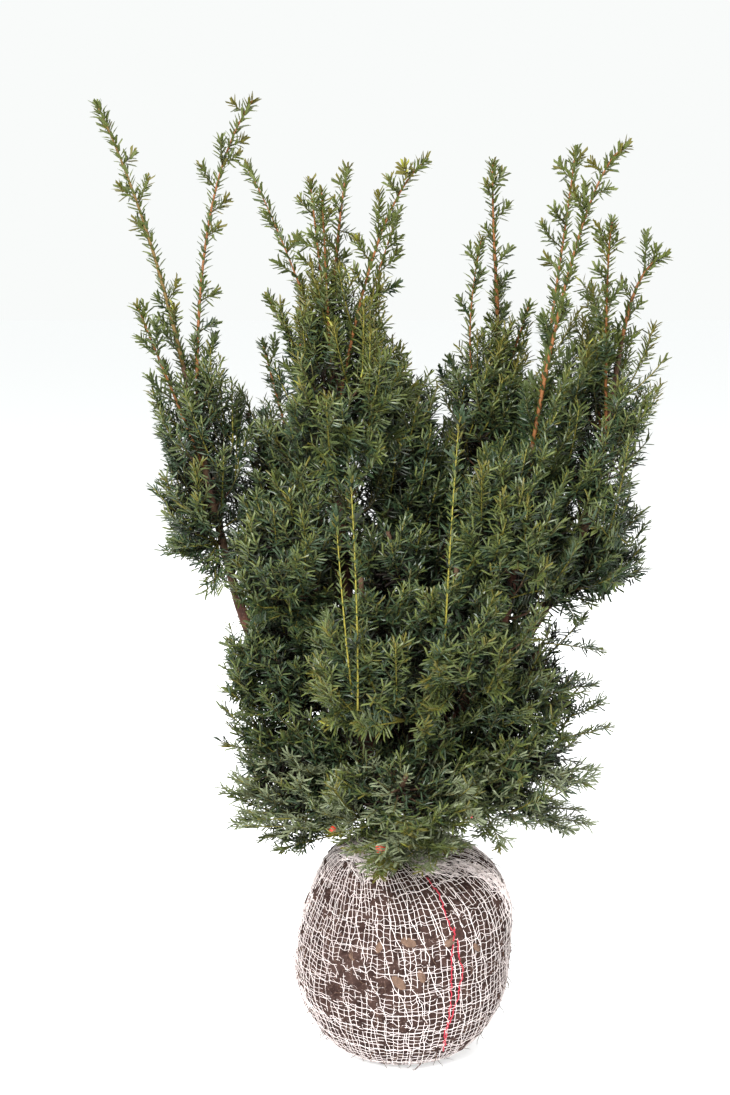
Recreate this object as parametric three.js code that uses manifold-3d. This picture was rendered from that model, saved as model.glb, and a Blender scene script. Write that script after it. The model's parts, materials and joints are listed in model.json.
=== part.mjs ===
// An English yew as a nursery sells it: a bushy young shrub with its soil held in a netted root ball.
// Millimetres, +Z up, -Y is the front. The origin is the centre of the root ball's flat underside.
//
// The ball carries one short trunk, which forks low into seven boughs. Each bough is one tapering limb that
// ends where it enters the foliage. The foliage is twenty-one masses. A mass is one solid: a stem that starts
// 0.3 mm clear of its bough, and branches that a seeded rule spreads evenly round the stem. Each twig is a
// slim three-sided core that its needles stand out of. Long leaders carry the outline up to the tips.

import * as THREE from "three";
import { mergeVertices } from "three/addons/utils/BufferGeometryUtils.js";
import Module from "manifold-3d";

const wasm = await Module();
wasm.setup();

const V = (x, y, z) => new THREE.Vector3(x, y, z);
const UP = V(0, 0, 1);
const GOLDEN_ANGLE = Math.PI * (3 - Math.sqrt(5));

// ---- Driving dimensions -------------------------------------------------------------------------

const BALL_RADIUS = 136; // at the widest ring
const BALL_HEIGHT = 258; // up to the flat collar that the trunk stands on
const BALL_BELLY = 0.48; // the height of the widest ring, of the ball's
const BALL_FOOT_RADIUS = 52; // the flat that the ball stands on
const BALL_COLLAR_RADIUS = 52;
const BALL_SHOULDER = 0.8; // below 1 the shoulder is fuller than a quarter ellipse
const BALL_LEAN = 9; // how far the shoulder stands to the right of the foot
const LEAN_RISE = 3.5; // above 1, most of the lean is high up
const BALL_SIDES = 18;
const BALL_ROWS = 4; // below the belly, and again above it
const LUMP = { height: 3.5, around: 3, rise: 40 }; // how far the soil bulges, how often, and its slant

const WELD = 1e-3; // corners nearer than this are one
const JOIN_GAP = 0.3; // clear space where one solid meets the next
const CLEARANCE = 1.5; // least space between a twig or needle and a limb, or its mass's boundary

const SAMPLES = 60; // points along a curve that distances and directions are worked out at
const NEEDLE_TESTS = [0.35, 0.7, 1]; // the parts of a needle that are tested for room
const BRANCH_TESTS = [0.3, 0.4, 0.5, 0.6, 0.7, 0.8, 0.9, 1];

const LIMB_SIDES = 6;
const LIMB_STEPS = 5;
const FLARE = 0.55; // how much wider the trunk's foot is than its taper alone
const FLARE_SHARE = 0.5; // the part of the trunk that flares

const STEM_RADIUS = 5.5; // where a mass's stem starts
const BRANCH_RADIUS = 1.8;
const LEADER_RADIUS = 2.1; // a long upright shoot, at its foot
const TWIG_TAPER = 0.5; // a twig's radius near its tip, over the radius at its root
const TWIG_POINT = 9; // the length of the bare point at a twig's tip
const BARE_STEP = 60; // the length of a bare stretch of twig between two rings
const BRANCH_BARE = 0.33; // the part of a branch that has no needles
const LEADER_BARE = 0.3;

// The needles of a leader are near life size. Each of a branch's stands for a few real ones.
const LEADER_NEEDLES = { length: 26, step: 30 }; // the step is the length of twig to a round of six
const BRANCH_NEEDLES = { length: 42, step: 35 };
const NEEDLE_SPREAD = 20; // how far a leader's needles stand out all round
const NEEDLE_ROOM = 7; // least space between two needles, away from their roots
const NEEDLE_SLANT = 1.05; // how far a needle leans towards the tip, over how far it stands out
const BRANCH_OVERHANG = 10; // how far the last needles of a branch reach past its tip
const LEADER_OVERHANG = 3;

const BRANCH_DENSITY = 0.0013; // branches for each square millimetre of the mass's mean radius, squared
const BRANCH_ROOM = 9; // least space between two branches past their roots
const BRANCH_HEIGHTS = [-0.9, 0.85]; // the lowest and highest branch's tip, of the mass's radius
const BRANCH_BEND = [0.62, 0.3]; // where a branch turns up: how far out it has run, and how far up
const SWEEP = 0.9; // how far a branch runs along the stem, over how far it spreads
const JITTER = 0.3; // in the angle from one branch round to the next
const TRIES = 4; // for a place for each branch
const TRY_TURN = 1.6; // from one try round to the next
const SMALLEST = 0.3; // how far in a branch's tip may be drawn to find room, of the mass's radius
const STEM_REACH = 0.75; // past the mass's centre, of its radius
const STEM_LEAD = 0.35; // how far the stem keeps its first direction, of its length
const STEM_FORK = [0.12, 0.4]; // the lowest branches leave this part of the stem
const STEM_TOP = 0.93; // and the highest this

const BARK = { color: 0x5a3a2b, roughness: 0.9, metalness: 0 };
const NEEDLES = { color: 0x2c4a2a, roughness: 0.6, metalness: 0 };
const SOIL = { color: 0x4a3830, roughness: 1, metalness: 0 };

// The trunk and boughs: each a curve of four points, and the radius at its foot and tip.
const TRUNK = {
  name: "trunk",
  points: [V(-24, 3, BALL_HEIGHT + JOIN_GAP), V(-24, 3, 285), V(-25, 1, 310), V(-26, 0, 340)],
  radii: [23, 14],
};
const BOUGHS = [
  {
    name: "bough_left",
    points: [V(-30, -2, 318), V(-92, -10, 380), V(-170, -2, 455), V(-206, 8, 592)],
    radii: [9, 6],
  },
  {
    name: "bough_centre",
    points: [V(-25, 2, 322), V(-56, -18, 430), V(-66, -30, 560), V(-80, -20, 728)],
    radii: [11, 6],
  },
  {
    name: "bough_middle",
    points: [V(-24, 4, 316), V(22, 5, 400), V(62, 14, 540), V(100, 40, 690)],
    radii: [8.5, 5.5],
  },
  {
    name: "bough_right",
    points: [V(-20, 3, 306), V(62, 10, 390), V(140, 4, 500), V(198, -6, 612)],
    radii: [9, 6],
  },
  {
    name: "bough_front",
    points: [V(-22, -4, 312), V(42, -40, 390), V(115, -62, 500), V(128, -64, 620)],
    radii: [8, 5.5],
  },
  {
    name: "bough_back_left",
    points: [V(-28, 8, 310), V(-50, 60, 390), V(-80, 90, 450), V(-100, 112, 540)],
    radii: [8.5, 5.5],
  },
  {
    name: "bough_back_right",
    points: [V(-22, 8, 304), V(22, 60, 390), V(76, 95, 450), V(98, 114, 545)],
    radii: [8.5, 5.5],
  },
];

// The masses of foliage: the centre and the three radii of the space that each fills, and the limb that its
// stem grows from, with how far along that limb. The first leader carries on the stem. Each other leader
// leaves the stem at a share of its height. A leader runs to its tip, bent towards the point via.
const MASSES = [
  {
    name: "crown_left", limb: "bough_left", at: 1,
    centre: V(-241, 25, 741), radii: V(66, 84, 146),
    leaders: [
      { tip: V(-352, -10, 1157), via: V(-267, 10, 962) },
      { tip: V(-179, 60, 1170), via: V(-253, 50, 1064), from: 0.7 },
      { tip: V(-311, -20, 930), from: 0.5 },
    ],
  },
  {
    name: "crown_left_inner", limb: "bough_centre", at: 0.6,
    centre: V(-168, 75, 705), radii: V(64, 80, 138),
  },
  {
    name: "crown_centre", limb: "bough_centre", at: 1,
    centre: V(-79, -20, 838), radii: V(93, 92, 131),
    leaders: [
      { tip: V(-67, 30, 1089), via: V(-82, 10, 1000) },
      { tip: V(-186, 40, 1091), via: V(-148, 20, 1028), from: 0.55 },
      { tip: V(-108, -45, 1069), from: 0.6 },
      { tip: V(-94, -75, 1057), from: 0.45 },
      { tip: V(23, -50, 1093), via: V(-40, -50, 1044), from: 0.2 },
      { tip: V(-6, 20, 1039), via: V(-38, 20, 940), from: 0.4 },
      { tip: V(-161, 0, 941), from: 0.3 },
    ],
  },
  {
    name: "heart_left", limb: "bough_centre", at: 0.5,
    centre: V(-137, -80, 646), radii: V(70, 72, 95),
  },
  {
    name: "saddle", limb: "bough_middle", at: 0.7,
    centre: V(-2, 46, 744), radii: V(74, 92, 149),
  },
  {
    name: "crown_middle", limb: "bough_middle", at: 1,
    centre: V(106, 50, 799), radii: V(66, 88, 135),
    leaders: [
      { tip: V(107, 60, 1097), via: V(106, 55, 970) },
      { tip: V(90, 5, 1006), via: V(60, 10, 850), from: 0.3 },
      { tip: V(150, 20, 930), from: 0.55 },
    ],
  },
  {
    name: "crown_right", limb: "bough_right", at: 1,
    centre: V(226, -15, 758), radii: V(82, 92, 164),
    leaders: [
      { tip: V(304, -10, 988), via: V(234, -10, 967) },
      { tip: V(230, -75, 1025), via: V(227, -50, 974), from: 0.6 },
      { tip: V(230, 65, 946), from: 0.5 },
    ],
  },
  {
    name: "heart_right", limb: "bough_front", at: 1,
    centre: V(125, -82, 685), radii: V(80, 78, 106),
    leaders: [
      { tip: V(250, -40, 1110), via: V(195, -45, 1085) },
      { tip: V(202, 30, 1109), via: V(186, 0, 1000), from: 0.9 },
    ],
  },
  {
    name: "heart_middle", limb: "bough_middle", at: 0.45,
    centre: V(-10, -58, 618), radii: V(57, 72, 78),
  },
  {
    name: "shoulder_right", limb: "bough_right", at: 0.8,
    centre: V(224, 10, 628), radii: V(78, 88, 48),
  },
  {
    name: "flank_left", limb: "bough_left", at: 0.55,
    centre: V(-142, -10, 492), radii: V(91, 95, 85),
  },
  {
    name: "front_left", limb: "bough_centre", at: 0.35,
    centre: V(-38, -128, 537), radii: V(82, 80, 108),
    leaders: [{ tip: V(-62, -150, 753) }, { tip: V(-79, -140, 707), from: 0.6 }],
  },
  {
    name: "front_right", limb: "bough_front", at: 0.5,
    centre: V(54, -125, 560), radii: V(78, 76, 90),
    leaders: [{ tip: V(58, -145, 818) }],
  },
  {
    name: "flank_right", limb: "bough_right", at: 0.5,
    centre: V(142, -15, 476), radii: V(78, 98, 84),
  },
  {
    name: "skirt_left", limb: "trunk", at: 0.6,
    centre: V(-127, -20, 356), radii: V(91, 95, 100),
  },
  {
    name: "skirt_front", limb: "trunk", at: 0.7,
    centre: V(-4, -122, 358), radii: V(104, 78, 84),
  },
  {
    name: "skirt_right", limb: "trunk", at: 0.5,
    centre: V(146, -20, 372), radii: V(100, 96, 104),
  },
  {
    name: "back_left", limb: "bough_back_left", at: 1,
    centre: V(-130, 130, 618), radii: V(98, 80, 159),
    leaders: [{ tip: V(-128, 150, 960) }, { tip: V(-178, 160, 880), from: 0.6 }],
  },
  {
    name: "back_right", limb: "bough_back_right", at: 1,
    centre: V(105, 130, 665), radii: V(107, 82, 174),
    leaders: [{ tip: V(126, 150, 957) }, { tip: V(50, 150, 894), from: 0.6 }],
  },
  {
    name: "back_middle", limb: "bough_back_right", at: 0.45,
    centre: V(26, 138, 457), radii: V(130, 84, 116),
  },
  {
    name: "skirt_back", limb: "trunk", at: 0.65,
    centre: V(8, 128, 335), radii: V(117, 80, 80),
  },
];

// ---- The seeded rule ----------------------------------------------------------------------------

// Park and Miller's generator: the same numbers each run, and in any language with 53-bit numbers.
class Dice {
  constructor(seed) {
    this.state = seed;
  }
  roll() {
    this.state = (this.state * 48271) % 2147483647;
    return this.state / 2147483647;
  }
  between(low, high) {
    return low + (high - low) * this.roll();
  }
}

// How far an ellipsoid with these radii reaches along a unit direction.
const support = (radii, direction) => direction.clone().multiply(radii).length();

// The flat boundaries that part one mass's space from every other's, as {point, normal} facing outwards.
function boundariesOf(mass) {
  return MASSES.filter((other) => other !== mass).map((other) => {
    const normal = other.centre.clone().sub(mass.centre);
    const distance = normal.length();
    normal.normalize();
    const own = support(mass.radii, normal);
    const share = own / (own + support(other.radii, normal));
    return { point: mass.centre.clone().addScaledVector(normal, distance * share), normal };
  });
}

const insideBoundaries = (boundaries, p) =>
  boundaries.every(({ point, normal }) => p.clone().sub(point).dot(normal) < -CLEARANCE);

// ---- Curves and tapering limbs ------------------------------------------------------------------

const { lerp } = THREE.MathUtils;

// The cubic curve's points that run as the quadratic curve through these does.
const cubicFrom = (a, b, c) => [a, a.clone().lerp(b, 2 / 3), c.clone().lerp(b, 2 / 3), c];

// The end of a leader whose needles reach up to this tip.
const shortOf = (from, tip) => tip.clone().lerp(from, LEADER_OVERHANG / tip.distanceTo(from));

// A round tapering limb: a closed cylinder whose rings are carried along the curve.
function limbGeometry(curve, radiusAt) {
  const frames = curve.computeFrenetFrames(LIMB_STEPS, false);
  const geometry = new THREE.CylinderGeometry(1, 1, 1, LIMB_SIDES, LIMB_STEPS);
  const position = geometry.getAttribute("position");
  for (let i = 0; i < position.count; i += 1) {
    const share = position.getY(i) + 0.5;
    const ring = Math.round(share * LIMB_STEPS);
    const radius = radiusAt(share);
    const p = curve
      .getPointAt(share)
      .addScaledVector(frames.normals[ring], position.getX(i) * radius)
      .addScaledVector(frames.binormals[ring], -position.getZ(i) * radius);
    position.setXYZ(i, p.x, p.y, p.z);
  }
  return geometry;
}

// The shares of a twig's length where its rings are: wide apart on the bare part, then a needle step apart.
function ringShares({ length, bare }, step) {
  const bareRings = Math.max(1, Math.round((bare * length) / BARE_STEP));
  const needled = Math.max(1, Math.round(((1 - bare) * length) / step));
  const last = 1 - TWIG_POINT / length;
  return [
    ...Array.from({ length: bareRings }, (_, i) => (bare * i) / bareRings),
    ...Array.from({ length: needled + 1 }, (_, i) => lerp(bare, last, i / needled)),
  ];
}

// A twig: three-sided, with a flat root and a sharp tip. Each ring is turned by half a side from the last,
// so the faces are triangles. Past the bare share, each face is drawn out into a needle where it has room.
function twigGeometry(twig, needles, hasRoom) {
  const { curve, bare } = twig;
  const shares = ringShares(twig, needles.step);
  const frames = curve.computeFrenetFrames(SAMPLES, false);
  const corner = (ring, side) => {
    const share = shares[ring];
    const frame = Math.round(share * SAMPLES);
    const angle = ((2 * side + ring) * Math.PI) / 3;
    const width = twig.radiusAt(share);
    return curve
      .getPointAt(share)
      .addScaledVector(frames.normals[frame], Math.cos(angle) * width)
      .addScaledVector(frames.binormals[frame], Math.sin(angle) * width);
  };
  const triangles = [corner(0, 0), corner(0, 2), corner(0, 1)];
  const put = (share, a, b, c) => {
    const middle = a.clone().add(b).add(c).divideScalar(3);
    const heading = middle.clone().sub(curve.getPointAt(share)).normalize();
    heading.addScaledVector(curve.getTangentAt(share), NEEDLE_SLANT).normalize();
    const point = middle.clone().addScaledVector(heading, needles.length);
    const path = NEEDLE_TESTS.map((part) => middle.clone().lerp(point, part));
    if (share >= bare && hasRoom(path)) {
      triangles.push(a, b, point, b, c, point, c, a, point);
    } else {
      triangles.push(a, b, c);
    }
  };
  shares.slice(0, -1).forEach((share, ring) => {
    for (let side = 0; side < 3; side += 1) {
      const a = corner(ring, side);
      const b = corner(ring, side + 1);
      const c = corner(ring + 1, side);
      put(lerp(share, shares[ring + 1], 1 / 3), a, b, c);
      put(lerp(share, shares[ring + 1], 2 / 3), c, b, corner(ring + 1, side + 1));
    }
  });
  const end = shares.length - 1;
  for (let side = 0; side < 3; side += 1) {
    triangles.push(corner(end, side), corner(end, side + 1), curve.getPointAt(1));
  }
  return new THREE.BufferGeometry().setFromPoints(triangles);
}

// ---- Solids -------------------------------------------------------------------------------------

function solidOf(geometry) {
  const bare = geometry.clone();
  bare.deleteAttribute("normal");
  bare.deleteAttribute("uv");
  const merged = mergeVertices(bare, WELD);
  return new wasm.Manifold(
    new wasm.Mesh({
      numProp: 3,
      vertProperties: merged.getAttribute("position").array,
      triVerts: new Uint32Array(merged.index.array),
    }),
  );
}

function geometryOf(solid) {
  const { vertProperties, triVerts } = solid.getMesh();
  const geometry = new THREE.BufferGeometry();
  geometry.setAttribute("position", new THREE.BufferAttribute(vertProperties, 3));
  geometry.setIndex(new THREE.BufferAttribute(triVerts, 1));
  return geometry;
}

// The largest body of a solid, without loose scraps or the hollows that welding its corners seals.
function wholeOf(solid) {
  const bodies = solidOf(geometryOf(solid)).decompose();
  return bodies.reduce((a, b) => (b.volume() > a.volume() ? b : a));
}

const fuse = (solids) => solids.reduce((all, next) => all.add(next));

function meshOf(name, solid, look) {
  const geometry = geometryOf(solid);
  geometry.computeVertexNormals();
  const material = new THREE.MeshStandardMaterial({ ...look, flatShading: true });
  const mesh = new THREE.Mesh(geometry, material);
  mesh.name = name;
  return mesh;
}

// ---- Limbs --------------------------------------------------------------------------------------

// Anything long that tapers along a curve: the trunk, a bough, a stem, a branch or a leader.
class Limb {
  constructor({ name, points, radii, bare = 1 }) {
    this.name = name;
    this.curve = new THREE.CubicBezierCurve3(...points);
    this.length = this.curve.getLength();
    this.samples = this.curve.getSpacedPoints(SAMPLES);
    this.radii = radii;
    this.bare = bare;
  }

  radiusAt(share) {
    return lerp(...this.radii, share);
  }

  // The limb as a solid, made wider and longer by grow all over.
  solid(grow = 0) {
    const { v0, v1, v2, v3 } = this.curve;
    const long = new THREE.CubicBezierCurve3(
      v0.clone().addScaledVector(this.curve.getTangent(0), -grow),
      v1,
      v2,
      v3.clone().addScaledVector(this.curve.getTangent(1), grow),
    );
    const radiusAt = (share) => {
      const own = (share * (this.length + 2 * grow) - grow) / this.length;
      return this.radiusAt(THREE.MathUtils.clamp(own, 0, 1)) + grow;
    };
    return solidOf(limbGeometry(long, radiusAt));
  }

  // Distance to p from the limb's bark, and where it isn't leafless from the needles that it carries.
  clearOf(p, leafless = false) {
    const distances = this.samples.map((sample, i) => {
      const share = i / (this.samples.length - 1);
      const needles = share > this.bare && !leafless ? NEEDLE_SPREAD : 0;
      return sample.distanceTo(p) - this.radiusAt(share) - needles;
    });
    return Math.min(...distances);
  }

  // The share of the limb's length at its nearest point to p.
  nearest(p) {
    const distances = this.samples.map((sample) => sample.distanceTo(p));
    return distances.indexOf(Math.min(...distances)) / (this.samples.length - 1);
  }
}

class Trunk extends Limb {
  // The root flare widens the foot by a smooth curve.
  radiusAt(share) {
    const rise = Math.max(0, 1 - share / FLARE_SHARE);
    return (super.radiusAt(share) * (1 + FLARE * rise * rise)) / (1 + FLARE);
  }
}

const limbs = [new Trunk(TRUNK), ...BOUGHS.map((bough) => new Limb(bough))];
const limbNamed = (name) => limbs.find((limb) => limb.name === name);

// Each bough is cut back to clear the limbs before it.
const limbSolids = limbs.map((limb, i) => {
  const earlier = limbs.slice(0, i).map((other) => other.solid(JOIN_GAP));
  return wholeOf(earlier.reduce((left, other) => left.subtract(other), limb.solid()));
});

// ---- A mass of foliage --------------------------------------------------------------------------

const twigOf = (from, through, to, radius, bare) =>
  new Limb({ points: cubicFrom(from, through, to), radii: [radius, radius * TWIG_TAPER], bare });

class Mass {
  constructor(facts, index) {
    this.name = facts.name;
    this.centre = facts.centre;
    this.radii = facts.radii;
    this.boundaries = boundariesOf(facts);
    this.dice = new Dice(1009 + 7919 * index);
    this.branches = [];
    const [first, ...others] = facts.leaders ?? [];
    this.stem = this.stemOf(limbNamed(facts.limb), facts.at, first);
    this.top = this.stem.nearest(this.centre.clone().addScaledVector(UP, BRANCH_HEIGHTS[1] * this.radii.z));
    this.stem.bare = first ? this.top : STEM_TOP;
    this.leaders = others.map(({ tip, via, from }) => {
      const root = this.stem.curve.getPointAt(from * this.top);
      const through = via ?? root.clone().lerp(tip, 0.5);
      return twigOf(root, through, shortOf(root, tip), LEADER_RADIUS, LEADER_BARE);
    });
  }

  // The stem keeps its bough's direction from the bough's tip. From a limb's side it heads for the centre.
  stemOf(limb, at, leader) {
    const start = limb.curve.getPointAt(at);
    const outward = this.centre.clone().sub(start).normalize();
    const axis = outward.clone().add(UP).normalize();
    const reach = STEM_REACH * support(this.radii, axis);
    const end = shortOf(start, leader?.tip ?? this.centre.clone().addScaledVector(axis, reach));
    const lead = at === 1 ? limb.curve.getTangent(1) : outward;
    const second = start.clone().addScaledVector(lead, STEM_LEAD * start.distanceTo(end));
    const third = leader?.via ?? this.centre.clone().lerp(end, 0.5);
    return new Limb({ points: [start, second, third, end], radii: [STEM_RADIUS, STEM_RADIUS * TWIG_TAPER] });
  }

  // What the other masses' twigs keep clear of.
  get frame() {
    return [this.stem, ...this.leaders];
  }

  // The tip of a branch in this direction, drawn in from the mass's surface to where there is room.
  tipTowards(way) {
    for (let size = 1; size > SMALLEST; size -= 0.05) {
      const reach = this.radii.clone().multiplyScalar(size).subScalar(BRANCH_OVERHANG);
      const tip = this.centre.clone().add(way.clone().multiply(reach));
      if (insideBoundaries(this.boundaries, tip)) return tip;
    }
    return null;
  }

  // Where a branch leaves the stem: short of the point nearest to its tip, by more the further it spreads.
  rootOf(tip, lowest) {
    const nearest = this.stem.nearest(tip);
    const spread = this.stem.curve.getPointAt(nearest).distanceTo(tip);
    const share = nearest - (SWEEP * spread) / this.stem.length;
    return this.stem.curve.getPointAt(THREE.MathUtils.clamp(share, lowest * this.top, STEM_TOP * this.top));
  }

  branchTo(angle, height, lowest) {
    const round = Math.sqrt(1 - height * height);
    const tip = this.tipTowards(V(round * Math.cos(angle), round * Math.sin(angle), height));
    if (!tip) return null;
    const from = this.rootOf(tip, lowest);
    const [out, up] = BRANCH_BEND;
    const through = V(lerp(from.x, tip.x, out), lerp(from.y, tip.y, out), lerp(from.z, tip.z, up));
    return twigOf(from, through, tip, BRANCH_RADIUS, BRANCH_BARE);
  }

  // Whether a branch past its root stays in the mass's own space, and clear of all that runs through it.
  fits(branch, obstacles) {
    const own = [...this.branches, ...this.frame];
    return BRANCH_TESTS.every((share) => {
      const p = branch.curve.getPointAt(share);
      return (
        insideBoundaries(this.boundaries, p) &&
        obstacles.every((limb) => limb.clearOf(p) > CLEARANCE) &&
        own.every((twig) => twig.clearOf(p, true) > BRANCH_ROOM)
      );
    });
  }

  grow(obstacles) {
    const { dice } = this;
    const size = Math.cbrt(this.radii.x * this.radii.y * this.radii.z);
    const count = Math.round(BRANCH_DENSITY * size ** 2);
    for (let i = 0; i < count; i += 1) {
      const height = lerp(...BRANCH_HEIGHTS, (i + 0.5) / count);
      for (let tries = 0; tries < TRIES; tries += 1) {
        const angle = i * GOLDEN_ANGLE + dice.between(-JITTER, JITTER) + tries * TRY_TURN;
        const branch = this.branchTo(angle, height, dice.between(...STEM_FORK));
        if (branch && this.fits(branch, obstacles)) {
          this.branches.push(branch);
          break;
        }
      }
    }
  }

  // The mass as one solid. Needles are left off where they would touch a limb, a twig or another needle.
  solid(obstacles) {
    const own = [...this.frame, ...this.branches];
    const placed = [];
    const needled = (twig, needles, inSpace) =>
      twigGeometry(twig, needles, (path) => {
        const clear = path.every(
          (p) =>
            (!inSpace || insideBoundaries(this.boundaries, p)) &&
            obstacles.every((limb) => limb.clearOf(p) > CLEARANCE) &&
            own.every((other) => other === twig || other.clearOf(p, true) > CLEARANCE) &&
            placed.every((q) => p.distanceTo(q) > NEEDLE_ROOM),
        );
        if (clear) placed.push(...path);
        return clear;
      });
    const leafy = this.stem.bare === STEM_TOP ? BRANCH_NEEDLES : LEADER_NEEDLES;
    const parts = [
      needled(this.stem, leafy, leafy === BRANCH_NEEDLES),
      ...this.leaders.map((leader) => needled(leader, LEADER_NEEDLES, false)),
      ...this.branches.map((branch) => needled(branch, BRANCH_NEEDLES, true)),
    ];
    const cuts = obstacles.map((limb) => limb.solid(JOIN_GAP));
    return wholeOf(cuts.reduce((left, cut) => left.subtract(cut), fuse(parts.map(solidOf))));
  }
}

// ---- The root ball ------------------------------------------------------------------------------

// The ball's outline from the flat foot up to the flat collar: two quarter ellipses that meet at the belly.
function ballProfile() {
  const belly = BALL_BELLY * BALL_HEIGHT;
  const turns = Array.from({ length: BALL_ROWS }, (_, i) => ((i + 1) / BALL_ROWS) * (Math.PI / 2));
  const point = (x, y) => new THREE.Vector2(x, y);
  return [
    point(0, 0),
    point(BALL_FOOT_RADIUS, 0),
    ...turns.map((a) => point(lerp(BALL_FOOT_RADIUS, BALL_RADIUS, Math.sin(a)), belly * (1 - Math.cos(a)))),
    ...turns.map((a) =>
      point(
        lerp(BALL_COLLAR_RADIUS, BALL_RADIUS, Math.max(0, Math.cos(a)) ** BALL_SHOULDER),
        lerp(belly, BALL_HEIGHT, Math.sin(a)),
      ),
    ),
    point(0, BALL_HEIGHT),
  ];
}

// The ball leans to the right as it rises, and its collar comes back. It bulges a little in and out, more
// the wider it is, and not at its foot or collar.
function rootBall() {
  const geometry = new THREE.LatheGeometry(ballProfile(), BALL_SIDES);
  geometry.rotateX(Math.PI / 2);
  const position = geometry.getAttribute("position");
  for (let i = 0; i < position.count; i += 1) {
    const p = V(position.getX(i), position.getY(i), position.getZ(i));
    const angle = Math.atan2(p.y, p.x);
    const wide = (Math.hypot(p.x, p.y) / BALL_RADIUS) * Math.sin((Math.PI * p.z) / BALL_HEIGHT);
    const lump = LUMP.height * wide * Math.sin(LUMP.around * angle + p.z / LUMP.rise);
    const lean = BALL_LEAN * Math.sin(Math.PI * (Math.max(0, p.z) / BALL_HEIGHT) ** LEAN_RISE);
    position.setX(i, p.x + lean + lump * Math.cos(angle));
    position.setY(i, p.y + lump * Math.sin(angle));
  }
  return solidOf(geometry);
}

// ---- The assembly -------------------------------------------------------------------------------

const masses = MASSES.map((facts, index) => new Mass(facts, index));

const yew = new THREE.Group();
yew.add(meshOf("root_ball", rootBall(), SOIL));
limbs.forEach((limb, i) => yew.add(meshOf(limb.name, limbSolids[i], BARK)));
for (const mass of masses) {
  const others = masses.filter((other) => other !== mass);
  const obstacles = [...limbs, ...others.flatMap((other) => other.frame)];
  mass.grow(obstacles);
  yew.add(meshOf(mass.name, mass.solid(obstacles), NEEDLES));
}

export default yew;
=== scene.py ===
"""An English yew, with its soil held in a netted root ball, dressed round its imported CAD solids.

The foliage grows by the same seeded rule as the solids do, and is carried on to finer twigs and needles.
Sizes are in millimetres while things grow, and become metres when a mesh is made.
"""

from __future__ import annotations

import json
import logging
import math
from collections.abc import Iterable, Sequence
from dataclasses import dataclass, field
from enum import Enum

import bpy
import numpy as np
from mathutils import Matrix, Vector

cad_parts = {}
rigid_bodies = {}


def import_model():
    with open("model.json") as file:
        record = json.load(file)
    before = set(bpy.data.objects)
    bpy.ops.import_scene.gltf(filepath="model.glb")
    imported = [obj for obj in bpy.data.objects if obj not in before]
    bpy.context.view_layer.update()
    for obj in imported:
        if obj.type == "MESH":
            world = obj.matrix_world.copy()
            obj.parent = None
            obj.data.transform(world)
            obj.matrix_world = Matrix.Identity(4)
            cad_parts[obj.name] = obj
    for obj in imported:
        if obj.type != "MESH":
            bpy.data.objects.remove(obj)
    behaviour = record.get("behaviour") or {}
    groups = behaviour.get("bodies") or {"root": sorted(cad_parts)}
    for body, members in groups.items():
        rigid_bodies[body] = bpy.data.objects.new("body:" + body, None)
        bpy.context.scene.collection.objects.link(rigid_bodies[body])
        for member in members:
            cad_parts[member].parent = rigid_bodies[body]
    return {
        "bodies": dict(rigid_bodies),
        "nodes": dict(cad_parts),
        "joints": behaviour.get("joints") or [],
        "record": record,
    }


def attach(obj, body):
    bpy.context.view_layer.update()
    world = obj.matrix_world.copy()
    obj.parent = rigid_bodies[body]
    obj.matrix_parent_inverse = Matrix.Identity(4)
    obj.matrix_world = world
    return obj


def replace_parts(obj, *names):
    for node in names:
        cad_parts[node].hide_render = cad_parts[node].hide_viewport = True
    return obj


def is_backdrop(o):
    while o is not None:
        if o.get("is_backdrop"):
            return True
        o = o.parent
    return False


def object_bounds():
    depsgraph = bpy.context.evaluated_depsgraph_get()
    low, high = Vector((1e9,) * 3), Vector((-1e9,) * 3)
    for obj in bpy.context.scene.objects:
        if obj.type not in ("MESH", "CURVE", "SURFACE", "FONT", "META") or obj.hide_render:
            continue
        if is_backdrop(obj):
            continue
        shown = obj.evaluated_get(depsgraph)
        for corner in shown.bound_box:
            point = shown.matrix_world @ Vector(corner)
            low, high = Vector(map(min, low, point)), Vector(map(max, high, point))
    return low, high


log = logging.getLogger("yew")

MM = 0.001
UP = np.array([0.0, 0.0, 1.0])
LEVEL = np.array([1.0, 1.0, 0.0])
GOLDEN_ANGLE = math.pi * (3 - math.sqrt(5))
PIECE_FACES = 190_000

# ---- Small tools ----


def unit(v: np.ndarray) -> np.ndarray:
    """Each vector of v, made one long."""
    return v / np.maximum(np.linalg.norm(v, axis=-1, keepdims=True), 1e-12)


def across(heading: np.ndarray, lift: np.ndarray) -> tuple[np.ndarray, np.ndarray]:
    """The two directions square to a heading.

    Args:
        heading: Unit vectors along something.
        lift: Which way is roughly up for each of them.

    Returns:
        The sideways direction, and the upward one made square to both.
    """
    side = unit(np.cross(heading, lift))
    return side, np.cross(side, heading)


def stacked(*values: np.ndarray) -> np.ndarray:
    """The values, spread to one shape, as the coordinates of points."""
    return np.stack(np.broadcast_arrays(*values), -1)


def smooth(x: np.ndarray) -> np.ndarray:
    """0 below 0, 1 above 1, and an S curve between them."""
    x = np.clip(x, 0.0, 1.0)
    return x * x * (3 - 2 * x)


def fade(value: np.ndarray, span: tuple[float, float]) -> np.ndarray:
    """An S curve from 0 to 1 that begins at the span's first number and takes its second."""
    begins, over = span
    return smooth((value - begins) / over)


def batched(items: Sequence[object], sizes: Sequence[int], most: int) -> Iterable[list[object]]:
    """Parts the items into runs whose sizes add up to no more than most."""
    run, total = [], 0
    for item, size in zip(items, sizes):
        if run and total + size > most:
            yield run
            run, total = [], 0
        run.append(item)
        total += size
    if run:
        yield run


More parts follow.
